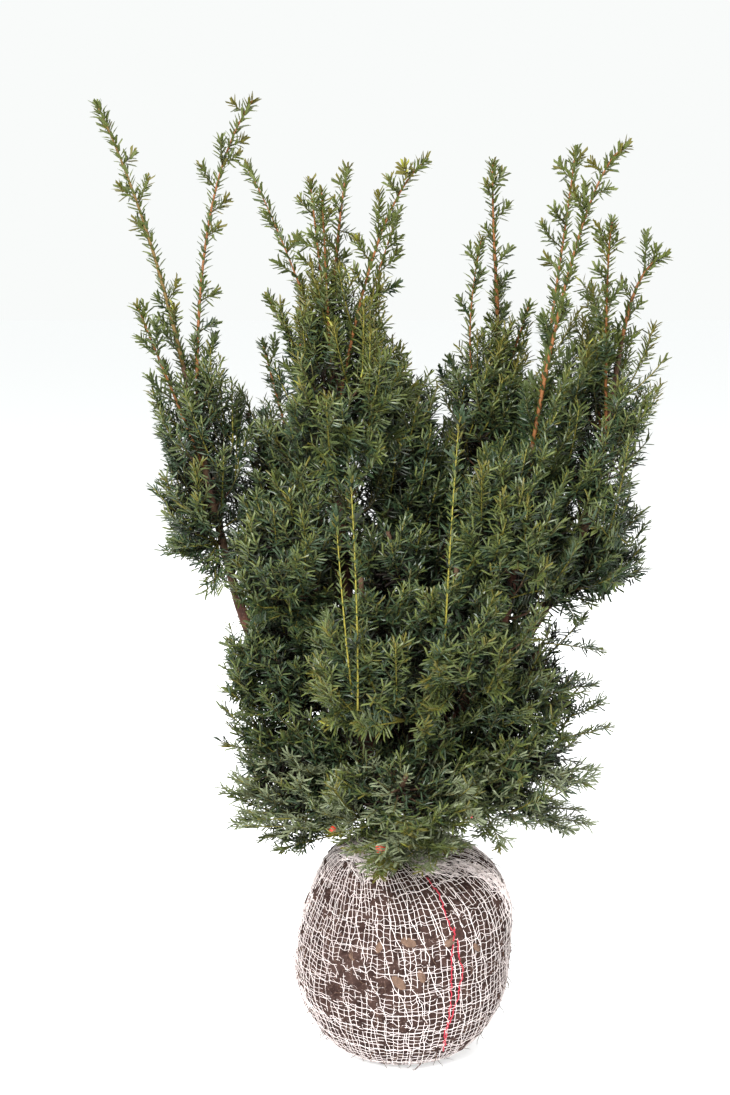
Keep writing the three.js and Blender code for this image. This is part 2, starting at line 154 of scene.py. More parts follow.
def linear(colour: str) -> tuple[float, float, float, float]:
    """A web colour such as "3a5f2b", in Blender's linear numbers."""
    parts = [int(colour[i : i + 2], 16) / 255 for i in (0, 2, 4)]
    red, green, blue = (c / 12.92 if c <= 0.04045 else ((c + 0.055) / 1.055) ** 2.4 for c in parts)
    return red, green, blue, 1.0


class Grain:
    """Smooth random relief in space: a lattice of random numbers, blended along S curves."""

    CELLS = 32

    def __init__(self, seed: int) -> None:
        """Deals out the lattice's numbers for this seed."""
        self.lattice = np.random.default_rng(seed).random((self.CELLS,) * 3) * 2 - 1

    def at(self, p: np.ndarray, size: float) -> np.ndarray:
        """The relief at each point.

        Args:
            p: Points in millimetres.
            size: The width of one bump, in millimetres.

        Returns:
            Numbers from -1 to 1.
        """
        q = p / size
        low = np.floor(q).astype(int)
        share = smooth(q - low)
        total = np.zeros(p.shape[:-1])
        for corner in np.ndindex(2, 2, 2):
            x, y, z = np.moveaxis((low + corner) % self.CELLS, -1, 0)
            weight = np.prod(np.where(corner, share, 1 - share), axis=-1)
            total += weight * self.lattice[x, y, z]
        return total

    def layered(self, p: np.ndarray, layers: Sequence[tuple[float, float, float]]) -> np.ndarray:
        """The sum of layers of relief, each a height, a width of one bump and a shift of the points."""
        return sum(height * self.at(p + shift, size) for height, size, shift in layers)


# ---- Meshes ----


@dataclass
class Surface:
    """Points in millimetres and the triangles between them."""

    points: np.ndarray = field(default_factory=lambda: np.zeros((0, 3)))
    faces: np.ndarray = field(default_factory=lambda: np.zeros((0, 3), int))

    @staticmethod
    def joined(parts: Iterable[Surface]) -> Surface:
        """All the parts as one surface."""
        parts = list(parts)
        starts = np.cumsum([0] + [len(part.points) for part in parts[:-1]])
        return Surface(
            np.concatenate([part.points for part in parts]),
            np.concatenate([part.faces + start for part, start in zip(parts, starts)]),
        )

    def piece(self, name: str, finish: Finish, rounded: bool = False) -> bpy.types.Object:
        """Makes the Blender object, which rides on the plant's one body.

        Args:
            name: The piece's name.
            finish: What it is dressed in.
            rounded: Whether light runs smoothly from face to face.

        Returns:
            The object.
        """
        mesh = bpy.data.meshes.new(name)
        mesh.vertices.add(len(self.points))
        mesh.vertices.foreach_set("co", (self.points * MM).astype(np.float32).ravel())
        mesh.loops.add(3 * len(self.faces))
        mesh.loops.foreach_set("vertex_index", self.faces.astype(np.int32).ravel())
        mesh.polygons.add(len(self.faces))
        mesh.polygons.foreach_set("loop_start", np.arange(0, 3 * len(self.faces), 3, dtype=np.int32))
        mesh.polygons.foreach_set("use_smooth", np.full(len(self.faces), rounded))
        mesh.update(calc_edges=True)
        mesh.validate()
        mesh.materials.append(finish.material())
        piece = bpy.data.objects.new(name, mesh)
        bpy.context.scene.collection.objects.link(piece)
        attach(piece, "root")
        finish.slot
        log.info("%s: %d triangles", name, len(self.faces))
        return piece


def tubes(paths: np.ndarray, widths: np.ndarray, sides: int) -> Surface:
    """Round tubes carried along many paths at once.

    Each ring is a circle square to its path, turned as little as the path allows from the ring before. Each
    end is closed by a fan round a middle point.

    Args:
        paths: Points along each path, as (tubes, rings, 3).
        widths: The radius at each of them, as (tubes, rings).
        sides: The number of sides of each tube.

    Returns:
        The tubes as one surface.
    """
    count, rings, _ = paths.shape
    heading = unit(np.gradient(paths, axis=1))
    spare = np.where(np.abs(heading[:, :1, 2:]) > 0.9, [1.0, 0.0, 0.0], UP)
    side = unit(np.cross(heading[:, 0], spare[:, 0]))
    sideways = [side]
    for ring in range(1, rings):
        side = unit(side - np.sum(side * heading[:, ring], -1, keepdims=True) * heading[:, ring])
        sideways.append(side)
    side = np.stack(sideways, 1)[:, :, None]
    other = np.cross(heading[:, :, None], side)
    angle = np.linspace(0, 2 * math.pi, sides, endpoint=False)[:, None]
    circle = np.cos(angle) * side + np.sin(angle) * other
    walls = paths[:, :, None] + widths[:, :, None, None] * circle
    points = np.concatenate([walls.reshape(count, -1, 3), paths[:, :1], paths[:, -1:]], 1)
    ring, turn = np.meshgrid(np.arange(rings - 1), np.arange(sides), indexing="ij")
    a = (ring * sides + turn).ravel()
    b = (ring * sides + (turn + 1) % sides).ravel()
    rim = np.arange(sides)
    ahead = (rim + 1) % sides
    foot, tip = np.full(sides, rings * sides), np.full(sides, rings * sides + 1)
    last = (rings - 1) * sides
    one = np.concatenate(
        [
            np.stack([a, b, b + sides], 1),
            np.stack([a, b + sides, a + sides], 1),
            np.stack([ahead, rim, foot], 1),
            np.stack([last + rim, last + ahead, tip], 1),
        ]
    )
    faces = one[None] + (np.arange(count) * (rings * sides + 2))[:, None, None]
    return Surface(points.reshape(-1, 3), faces.reshape(-1, 3))


def pole_faces(rows: int, columns: int) -> np.ndarray:
    """The triangles of something round, whose rings of points run from the top to the foot.

    Args:
        rows: The number of rings.
        columns: The points in each, after all of which come the top's middle and the foot's.
    """
    grid = np.arange(rows * columns).reshape(rows, columns)
    after = np.roll(grid, -1, axis=1)
    a, b, c, d = grid[:-1], grid[1:], after[1:], after[:-1]
    top, foot = np.full(columns, rows * columns), np.full(columns, rows * columns + 1)
    return np.concatenate(
        [
            np.stack([a, b, c], -1).reshape(-1, 3),
            np.stack([a, c, d], -1).reshape(-1, 3),
            np.stack([top, grid[0], after[0]], -1),
            np.stack([foot, after[-1], grid[-1]], -1),
        ]
    )


# ---- Finishes ----


class Nodes:
    """A material's or a group's node tree, with short ways to add and join nodes."""

    def __init__(self, tree: bpy.types.NodeTree) -> None:
        """Takes hold of a node tree."""
        self.tree = tree

    def add(self, kind: str, **settings: object) -> bpy.types.Node:
        """Adds a node.

        Args:
            kind: Its type without the ShaderNode in front.
            settings: Its properties by name, and its inputs by name or number after in_, with _ for a space.
                An input is given its value, or the socket that it is joined to.

        Returns:
            The node.
        """
        node = self.tree.nodes.new("ShaderNode" + kind)
        for key, value in settings.items():
            if not key.startswith("in_"):
                setattr(node, key, value)
                continue
            name = key[3:].replace("_", " ")
            socket = node.inputs[int(name) if name.isdigit() else name]
            if isinstance(value, bpy.types.NodeSocket):
                self.join(value, socket)
            else:
                socket.default_value = value
        return node

    def join(self, start: bpy.types.NodeSocket, end: bpy.types.NodeSocket) -> None:
        """Runs a link from one socket to another."""
        self.tree.links.new(start, end)


def speckle_group() -> bpy.types.NodeTree:
    """A group that breaks a surface up into patches: the mask is fractal noise pushed apart by a contrast.

    Returns:
        The group, with inputs Size, Contrast and Stretch, and outputs Mask and Fine.
    """
    name = "Speckle"
    if name in bpy.data.node_groups:
        return bpy.data.node_groups[name]
    tree = bpy.data.node_groups.new(name, "ShaderNodeTree")
    for label, value in (("Size", 0.02), ("Contrast", 3.0), ("Stretch", 1.0)):
        socket = tree.interface.new_socket(label, in_out="INPUT", socket_type="NodeSocketFloat")
        socket.default_value = value
    for label in ("Mask", "Fine"):
        tree.interface.new_socket(label, in_out="OUTPUT", socket_type="NodeSocketFloat")
    nodes = Nodes(tree)
    taken = tree.nodes.new("NodeGroupInput").outputs
    where = nodes.add("TexCoord").outputs["Object"]
    scale = nodes.add("Math", operation="DIVIDE", in_0=1.0, in_1=taken["Size"]).outputs["Value"]
    tall = nodes.add("CombineXYZ", in_X=1.0, in_Y=1.0, in_Z=taken["Stretch"]).outputs["Vector"]
    stretched = nodes.add("VectorMath", operation="MULTIPLY", in_0=where, in_1=tall).outputs["Vector"]
    broad = nodes.add("TexNoise", in_Detail=4.0, in_Roughness=0.6, in_Vector=stretched, in_Scale=scale)
    centred = nodes.add("Math", operation="SUBTRACT", in_0=broad.outputs["Fac"], in_1=0.5).outputs["Value"]
    pushed = nodes.add(
        "Math", operation="MULTIPLY_ADD", use_clamp=True, in_0=centred, in_1=taken["Contrast"], in_2=0.5
    )
    closer = nodes.add("Math", operation="MULTIPLY", in_0=scale, in_1=5.0).outputs["Value"]
    fine = nodes.add("TexNoise", in_Detail=3.0, in_Roughness=0.7, in_Vector=stretched, in_Scale=closer)
    given = tree.nodes.new("NodeGroupOutput").inputs
    nodes.join(pushed.outputs["Value"], given["Mask"])
    nodes.join(fine.outputs["Fac"], given["Fine"])
    return tree


@dataclass(frozen=True)
class Finish:
    """A surface of one plain colour."""

    name: str
    slot: str
    colour: str
    roughness: float = 0.6
    gloss: float = 0.5
    coat: float = 0.0

    def shader(self) -> tuple[bpy.types.Material, Nodes, bpy.types.Node]:
        """A new material with its plain values set, its nodes, and its Principled shader."""
        made = bpy.data.materials.new(self.name)
        made.use_nodes = True
        nodes = Nodes(made.node_tree)
        shader = made.node_tree.nodes["Principled BSDF"]
        shader.inputs["Base Color"].default_value = linear(self.colour)
        shader.inputs["Roughness"].default_value = self.roughness
        shader.inputs["Specular IOR Level"].default_value = self.gloss
        shader.inputs["Coat Weight"].default_value = self.coat
        return made, nodes, shader

    def material(self) -> bpy.types.Material:
        """The material, made once."""
        return bpy.data.materials.get(self.name) or self.make()

    def make(self) -> bpy.types.Material:
        """Builds the material."""
        return self.shader()[0]


@dataclass(frozen=True)
class Rough(Finish):
    """A surface whose colour breaks up into patches, with relief to match, as on bark or soil.

    Patches lie over the colour, and fine light spots over both. Sizes are in metres.
    """

    patch: str = "806040"
    light: str = "a08868"
    size: float = 0.02
    contrast: float = 3.0
    stretch: float = 1.0
    relief: float = 0.001
    spots: tuple[float, float] = (0.56, 0.72)
    bump: float = 0.8

    def make(self) -> bpy.types.Material:
        """Builds the material: patch over colour by the broad mask, light over both by the fine one."""
        made, nodes, shader = self.shader()
        speckle = made.node_tree.nodes.new("ShaderNodeGroup")
        speckle.node_tree = speckle_group()
        for label, value in (("Size", self.size), ("Contrast", self.contrast), ("Stretch", self.stretch)):
            speckle.inputs[label].default_value = value
        mask, fine = speckle.outputs["Mask"], speckle.outputs["Fine"]
        low, high = self.spots
        spots = nodes.add("MapRange", in_Value=fine, in_From_Min=low, in_From_Max=high).outputs["Result"]
        below, above, light = linear(self.colour), linear(self.patch), linear(self.light)
        patched = nodes.add("Mix", data_type="RGBA", in_0=mask, in_6=below, in_7=above).outputs[2]
        spotted = nodes.add("Mix", data_type="RGBA", in_0=spots, in_6=patched, in_7=light).outputs[2]
        nodes.join(spotted, shader.inputs["Base Color"])
        bump = nodes.add("Bump", in_Strength=self.bump, in_Distance=self.relief, in_Height=fine)
        nodes.join(bump.outputs["Normal"], shader.inputs["Normal"])
        return made


class Tint(Enum):
    """The needles' colours, each the finish of one piece."""

    DEEP = Finish("deep_green_needles", "needles", "1f2518", roughness=0.45, gloss=0.3)
    PINE = Finish("blue_green_needles", "needles", "2d3d27", roughness=0.4, gloss=0.4)
    MOSS = Finish("mid_green_needles", "needles", "444e2b", roughness=0.4, gloss=0.38)
    LEAF = Finish("bright_green_needles", "needles", "4f5729", roughness=0.42, gloss=0.34)
    OLIVE = Finish("olive_needles", "needles", "565220", roughness=0.45, gloss=0.26)
    FRESH = Finish("fresh_needles", "needles", "7c7c2e", roughness=0.46, gloss=0.3)
    GREY = Finish("dull_green_needles", "needles", "676e53", roughness=0.5, gloss=0.3)
    # The darkest rung: needles in painted shade deep in the crown, with the browner older needles there.
    SHADED_BRONZE = Finish("shaded_brown_green_needles", "needles", "1c1612", roughness=0.7, gloss=0.15)


BARK = Rough(
    "yew_bark", "bark", "30201b", roughness=0.85, gloss=0.2,
    patch="54362b", light="70564a", size=0.016, contrast=5.0, stretch=0.45, relief=0.0012,
)
OLD_TWIG = Rough(
    "brown_twig", "twigs", "3f2a20", roughness=0.8, gloss=0.25,
    patch="54402e", light="6e5842", size=0.012, contrast=3.0, stretch=0.5, relief=0.0004,
)
# Bark of shoots deep inside: older wood, darkened further as painted shade.
OLD_SHADED_SHOOT = Finish("dark_brown_twig", "twigs", "2c1d17", roughness=0.8, gloss=0.2)
OLIVE_TWIG = Finish("olive_brown_twig", "twigs", "64502a", roughness=0.65, gloss=0.3)
GREEN_TWIG = Finish("green_brown_twig", "twigs", "4f4c28", roughness=0.65, gloss=0.3)
YOUNG_TWIG = Finish("young_twig", "twigs", "6c6626", roughness=0.6, gloss=0.3)
ORANGE_TWIG = Finish("orange_brown_twig", "twigs", "784c28", roughness=0.65, gloss=0.3)
YELLOW_TWIG = Finish("yellow_twig", "twigs", "80782c", roughness=0.6, gloss=0.3)
SOIL = Rough(
    "root_soil", "soil", "291c19", roughness=0.95, gloss=0.1,
    patch="42312c", light="6a564f", size=0.016, contrast=4.0, relief=0.002,
)
NET = Finish("white_net", "net", "e6dbd8", roughness=0.6, gloss=0.3)
RED_THREAD = Finish("red_thread", "net", "b01c34", roughness=0.5)
DEAD_LEAF = Rough(
    "dead_leaf", "soil", "70594a", roughness=0.8, gloss=0.2,
    patch="574338", light="8a7464", size=0.006, contrast=3.0, relief=0.0003,
)
ROOT = Finish("fine_roots", "soil", "5c4638", roughness=0.8, gloss=0.25)
ARIL = Finish("red_aril", "berries", "c42c1a", roughness=0.3, gloss=0.5, coat=0.3)
SEED = Finish("dark_seed", "berries", "2e3020", roughness=0.5, gloss=0.4)

# ---- The rule that the solids grow by ----

CLEARANCE = 1.5
SAMPLES = 60
BRANCH_TESTS = np.array([0.3, 0.4, 0.5, 0.6, 0.7, 0.8, 0.9, 1.0])
FLARE, FLARE_SHARE = 0.55, 0.5
STEM_RADIUS, BRANCH_RADIUS, LEADER_RADIUS = 5.5, 1.8, 2.1
TWIG_TAPER = 0.5
BRANCH_BARE, LEADER_BARE = 0.33, 0.3
NEEDLE_SPREAD = 20.0
BRANCH_OVERHANG, LEADER_OVERHANG = 10.0, 3.0
BRANCH_DENSITY = 0.0013
BRANCH_ROOM = 9.0
BRANCH_HEIGHTS = (-0.9, 0.85)
BRANCH_BEND = (0.62, 0.3)
SWEEP = 0.9
JITTER = 0.3
TRIES, TRY_TURN = 4, 1.6
SMALLEST, SMALLER = 0.3, 0.05
STEM_REACH, STEM_LEAD = 0.75, 0.35
STEM_FORK = (0.12, 0.4)
STEM_TOP = 0.93


class Dice:
    """Park and Miller's generator, which gives the solids' own numbers."""

    FACTOR = 48271
    PRIME = 2147483647

    def __init__(self, seed: int) -> None:
        """Starts the row of numbers."""
        self.state = seed

    def between(self, low: float, high: float) -> float:
        """The next number, from low to high."""
        self.state = self.state * self.FACTOR % self.PRIME
        return low + (high - low) * self.state / self.PRIME


@dataclass(eq=False)
class Limb:
    """Anything long that tapers along a cubic curve: a bough, a stem, a branch or a leader."""

    STEPS = 200

    points: np.ndarray
    radii: tuple[float, float]
    bare: float = 1.0
    name: str = ""

    def __post_init__(self) -> None:
        """Walks the curve once, so that places can be found by length."""
        self.points = np.array(self.points, float)
        self._t = np.linspace(0, 1, self.STEPS + 1)
        steps = np.linalg.norm(np.diff(self.at(self._t), axis=0), axis=1)
        run = np.concatenate(([0.0], np.cumsum(steps)))
        self.length = float(run[-1])
        self._run = run / run[-1]
        self.shares = np.linspace(0, 1, SAMPLES + 1)
        self.samples = self.walk(self.shares)

    def at(self, t: np.ndarray) -> np.ndarray:
        """The Bézier curve's points at t."""
        t = np.asarray(t, float)[..., None]
        a, b, c, d = self.points
        return (1 - t) ** 3 * a + 3 * (1 - t) ** 2 * t * b + 3 * (1 - t) * t * t * c + t**3 * d

    def walk(self, share: np.ndarray) -> np.ndarray:
        """The points at these shares of the length."""
        return self.at(np.interp(share, self._run, self._t))

    def heading(self, share: np.ndarray) -> np.ndarray:
        """The unit directions at these shares of the length."""
        t = np.interp(share, self._run, self._t)[..., None]
        a, b, c, d = self.points
        return unit((1 - t) ** 2 * (b - a) + 2 * (1 - t) * t * (c - b) + t * t * (d - c))

    def radius_at(self, share: np.ndarray) -> np.ndarray:
        """The radius at these shares of the length."""
        return self.radii[0] + (self.radii[1] - self.radii[0]) * share

    def nearest(self, p: np.ndarray) -> float:
        """The share of the length at the nearest sample to p."""
        return float(self.shares[np.argmin(np.linalg.norm(self.samples - p, axis=1))])

    def tube(self, sides: int, rings: int, radii: tuple[float, float], span: tuple[float, float]) -> Surface:
        """A stretch of the limb as a tube.

        Args:
            sides: Its sides.
            rings: Its rings.
            radii: Its radius at each end.
            span: The shares of the limb's length that it runs between.

        Returns:
            The tube.
        """
        shares = np.linspace(*span, rings)
        return tubes(self.walk(shares)[None], np.linspace(*radii, rings)[None], sides)


class Trunk(Limb):
    """The short trunk, whose foot flares by a smooth curve."""

    def radius_at(self, share: np.ndarray) -> np.ndarray:
        """The taper, widened towards the foot."""
        rise = np.maximum(0.0, 1 - np.asarray(share) / FLARE_SHARE)
        return super().radius_at(share) * (1 + FLARE * rise * rise) / (1 + FLARE)


class Crowd:
    """What a twig keeps clear of: points along limbs, with the room that each takes."""

    def __init__(self, limbs: Sequence[Limb], leafless: bool) -> None:
        """Gathers the limbs' samples, with their needles' room unless they are leafless."""
        spread = 0.0 if leafless else NEEDLE_SPREAD
        self.points = np.concatenate([limb.samples for limb in limbs])
        self.room = np.concatenate(
            [limb.radius_at(limb.shares) + spread * (limb.shares > limb.bare) for limb in limbs]
        )

    def clear(self, p: np.ndarray) -> np.ndarray:
        """How far each point of p is from the nearest thing in the crowd."""
        return (np.linalg.norm(p[:, None] - self.points[None], axis=-1) - self.room).min(axis=1)


def twig_of(start: np.ndarray, through: np.ndarray, end: np.ndarray, radius: float, bare: float) -> Limb:
    """The limb that runs as the quadratic curve through three points does."""
    points = [start, start + (through - start) * 2 / 3, end + (through - end) * 2 / 3, end]
    return Limb(np.array(points), (radius, radius * TWIG_TAPER), bare)


def short_of(start: np.ndarray, tip: np.ndarray) -> np.ndarray:
    """The end of a leader whose needles reach up to this tip."""
    return tip + (start - tip) * LEADER_OVERHANG / np.linalg.norm(tip - start)


@dataclass(frozen=True)
class Leader:
    """A long upright shoot: its tip, the point it bends towards, and where it leaves its mass's stem."""

    tip: tuple[float, float, float]
    via: tuple[float, float, float] | None = None
    leaves: float = 0.0


@dataclass(frozen=True)
class MassPlan:
    """The space that a mass of foliage fills, and where on which limb its stem starts."""

    name: str
    limb: str
    at: float
    centre: tuple[float, float, float]
    radii: tuple[float, float, float]
    leaders: tuple[Leader, ...] = ()


MASSES = (
    MassPlan("crown_left", "bough_left", 1, (-241, 25, 741), (66, 84, 146), (
        Leader((-352, -10, 1157), (-267, 10, 962)),
        Leader((-179, 60, 1170), (-253, 50, 1064), leaves=0.7),
        Leader((-311, -20, 930), leaves=0.5),
    )),
    MassPlan("crown_left_inner", "bough_centre", 0.6, (-168, 75, 705), (64, 80, 138)),
    MassPlan("crown_centre", "bough_centre", 1, (-79, -20, 838), (93, 92, 131), (
        Leader((-67, 30, 1089), (-82, 10, 1000)),
        Leader((-186, 40, 1091), (-148, 20, 1028), leaves=0.55),
        Leader((-108, -45, 1069), leaves=0.6),
        Leader((-94, -75, 1057), leaves=0.45),
        Leader((23, -50, 1093), (-40, -50, 1044), leaves=0.2),
        Leader((-6, 20, 1039), (-38, 20, 940), leaves=0.4),
        Leader((-161, 0, 941), leaves=0.3),
    )),
    MassPlan("heart_left", "bough_centre", 0.5, (-137, -80, 646), (70, 72, 95)),
    MassPlan("saddle", "bough_middle", 0.7, (-2, 46, 744), (74, 92, 149)),
    MassPlan("crown_middle", "bough_middle", 1, (106, 50, 799), (66, 88, 135), (
        Leader((107, 60, 1097), (106, 55, 970)),
        Leader((90, 5, 1006), (60, 10, 850), leaves=0.3),
        Leader((150, 20, 930), leaves=0.55),
    )),
    MassPlan("crown_right", "bough_right", 1, (226, -15, 758), (82, 92, 164), (
        Leader((304, -10, 988), (234, -10, 967)),
        Leader((230, -75, 1025), (227, -50, 974), leaves=0.6),
        Leader((230, 65, 946), leaves=0.5),
    )),
    MassPlan("heart_right", "bough_front", 1, (125, -82, 685), (80, 78, 106), (
        Leader((250, -40, 1110), (195, -45, 1085)),
        Leader((202, 30, 1109), (186, 0, 1000), leaves=0.9),
    )),
    MassPlan("heart_middle", "bough_middle", 0.45, (-10, -58, 618), (57, 72, 78)),
    MassPlan("shoulder_right", "bough_right", 0.8, (224, 10, 628), (78, 88, 48)),
    MassPlan("flank_left", "bough_left", 0.55, (-142, -10, 492), (91, 95, 85)),
    MassPlan("front_left", "bough_centre", 0.35, (-38, -128, 537), (82, 80, 108), (
        Leader((-62, -150, 753)),
        Leader((-79, -140, 707), leaves=0.6),
    )),
    MassPlan("front_right", "bough_front", 0.5, (54, -125, 560), (78, 76, 90), (
        Leader((58, -145, 818)),
    )),
    MassPlan("flank_right", "bough_right", 0.5, (142, -15, 476), (78, 98, 84)),
    MassPlan("skirt_left", "trunk", 0.6, (-127, -20, 356), (91, 95, 100)),
    MassPlan("skirt_front", "trunk", 0.7, (-4, -122, 358), (104, 78, 84)),
    MassPlan("skirt_right", "trunk", 0.5, (146, -20, 372), (100, 96, 104)),
    MassPlan("back_left", "bough_back_left", 1, (-130, 130, 618), (98, 80, 159), (
        Leader((-128, 150, 960)),
        Leader((-178, 160, 880), leaves=0.6),
    )),
    MassPlan("back_right", "bough_back_right", 1, (105, 130, 665), (107, 82, 174), (
        Leader((126, 150, 957)),
        Leader((50, 150, 894), leaves=0.6),
    )),
    MassPlan("back_middle", "bough_back_right", 0.45, (26, 138, 457), (130, 84, 116)),
    MassPlan("skirt_back", "trunk", 0.65, (8, 128, 335), (117, 80, 80)),
)


@dataclass(frozen=True)
class LeaderLook:
    """What one leader has of its own.

    Attributes:
        spurs: Its side shoots. Each leaves it at a share of its length, and has its tip so many millimetres
            further right and up.
        radius: At its foot.
        bark: The finish of its stem.
        levels: The rungs of the ladder of tints at its foot and tip.
        bud_step: Its length to one of the short shoots that come of themselves.
        bushy: Whether the lowest of those are long.
        course: Where it runs over the front instead: its foot and the point that it bends towards.
        shown: The share of it that has grown.
    """

    spurs: tuple[tuple[float, float, float], ...] = ()
    radius: float = 2.2
    bark: Finish = ORANGE_TWIG
    levels: tuple[float, float] = (3.7, 4.6)
    bud_step: float = 27.0
    bushy: bool = True
    course: tuple[tuple[float, float, float], ...] = ()
    shown: float = 1.0


def front_look(foot: tuple[float, float, float], via: tuple[float, float, float]) -> LeaderLook:
    """The look of a young leader that runs over the front of the foliage."""
    return LeaderLook(
        radius=1.2, bark=YELLOW_TWIG, levels=(2.8, 5.4), bud_step=30.0, bushy=False, course=(foot, via)
    )


LOOKS = {
    ("crown_left", 0): LeaderLook(radius=2.4, bark=OLIVE_TWIG, bud_step=17.0, spurs=(
        (0.53, -19, 20), (0.6, 13, 21), (0.72, -10, 17), (0.74, -13, 13), (0.8, 12, 26), (0.81, -18, 13),
        (0.88, 9, 12), (0.94, -8, 15))),
    ("crown_left", 1): LeaderLook(radius=2.4, bud_step=17.0, spurs=(
        (0.3, 18, 9), (0.39, 20, 10), (0.58, 14, 10), (0.65, 18, 14), (0.72, -16, 26), (0.79, 0, 30),
        (0.8, 18, 8), (0.85, 16, 8), (0.96, -13, 10))),
    ("crown_centre", 0): LeaderLook(spurs=(
        (0.67, 12, 18), (0.73, -13, 16), (0.8, 17, -7), (0.85, -6, 17), (0.93, -5, 11))),
    ("crown_centre", 1): LeaderLook(radius=1.6, spurs=((0.48, -20, 13), (0.58, 13, 18), (0.69, -13, 17))),
    ("crown_centre", 2): LeaderLook(spurs=((0.54, -22, 13), (0.65, -24, 11), (0.76, 7, 17), (0.83, -15, 16))),
    ("crown_centre", 3): LeaderLook(spurs=((0.75, -14, 12), (0.83, 8, 18), (0.9, -8, 13))),
    ("crown_centre", 4): LeaderLook(radius=2.4, spurs=(
        (0.33, 0, 27), (0.47, 22, 18), (0.53, -10, 22), (0.62, -16, 26), (0.69, 1, 53), (0.74, 13, 14),
        (0.86, -10, 16), (0.93, -7, 9))),
    ("crown_centre", 5): LeaderLook(radius=1.6, bushy=False, spurs=(
        (0.57, 30, 12), (0.69, 23, 24), (0.81, 14, 13))),
    ("crown_middle", 0): LeaderLook(spurs=(
        (0.52, 8, 22), (0.64, 13, 15), (0.71, 15, 17), (0.77, -10, 18), (0.84, 16, 17), (0.9, -8, 17),
        (0.94, 12, 15))),
    ("crown_middle", 1): LeaderLook(radius=1.5, bushy=False, spurs=(
        (0.65, -12, 21), (0.78, 9, 21), (0.89, -8, 20))),
    ("heart_right", 0): LeaderLook(radius=2.4, bud_step=13.0, spurs=(
        (0.47, 15, 20), (0.53, -13, 27), (0.58, 11, 18), (0.65, 7, 21), (0.72, 9, 19), (0.78, 5, 54),
        (0.83, -13, 15), (0.87, 13, 5), (0.92, -12, 12), (0.93, 8, 10))),
    ("heart_right", 1): LeaderLook(radius=2.4, spurs=(
        (0.61, -13, 12), (0.68, -23, 25), (0.76, -15, 16), (0.82, 6, 18), (0.91, -12, 16), (0.96, 7, 8))),
    ("crown_right", 0): LeaderLook(spurs=(
        (0.69, 18, 18), (0.71, -16, 18), (0.79, 14, 14), (0.84, -13, 18), (0.92, 2, 44), (0.95, 6, 19))),
    ("crown_right", 1): LeaderLook(levels=(4.2, 4.9), spurs=(
        (0.53, -11, 19), (0.64, 15, 14), (0.73, -13, 13), (0.82, -9, 25), (0.87, 9, 11), (0.89, -13, 21))),
    ("front_left", 0): front_look((-54, -165, 484), (-52, -232, 610)),
    ("front_left", 1): front_look((-60, -165, 500), (-68, -230, 590)),
    ("front_right", 0): front_look((44, -125, 500), (40, -240, 650)),
    ("back_right", 1): LeaderLook(shown=0.72),
}


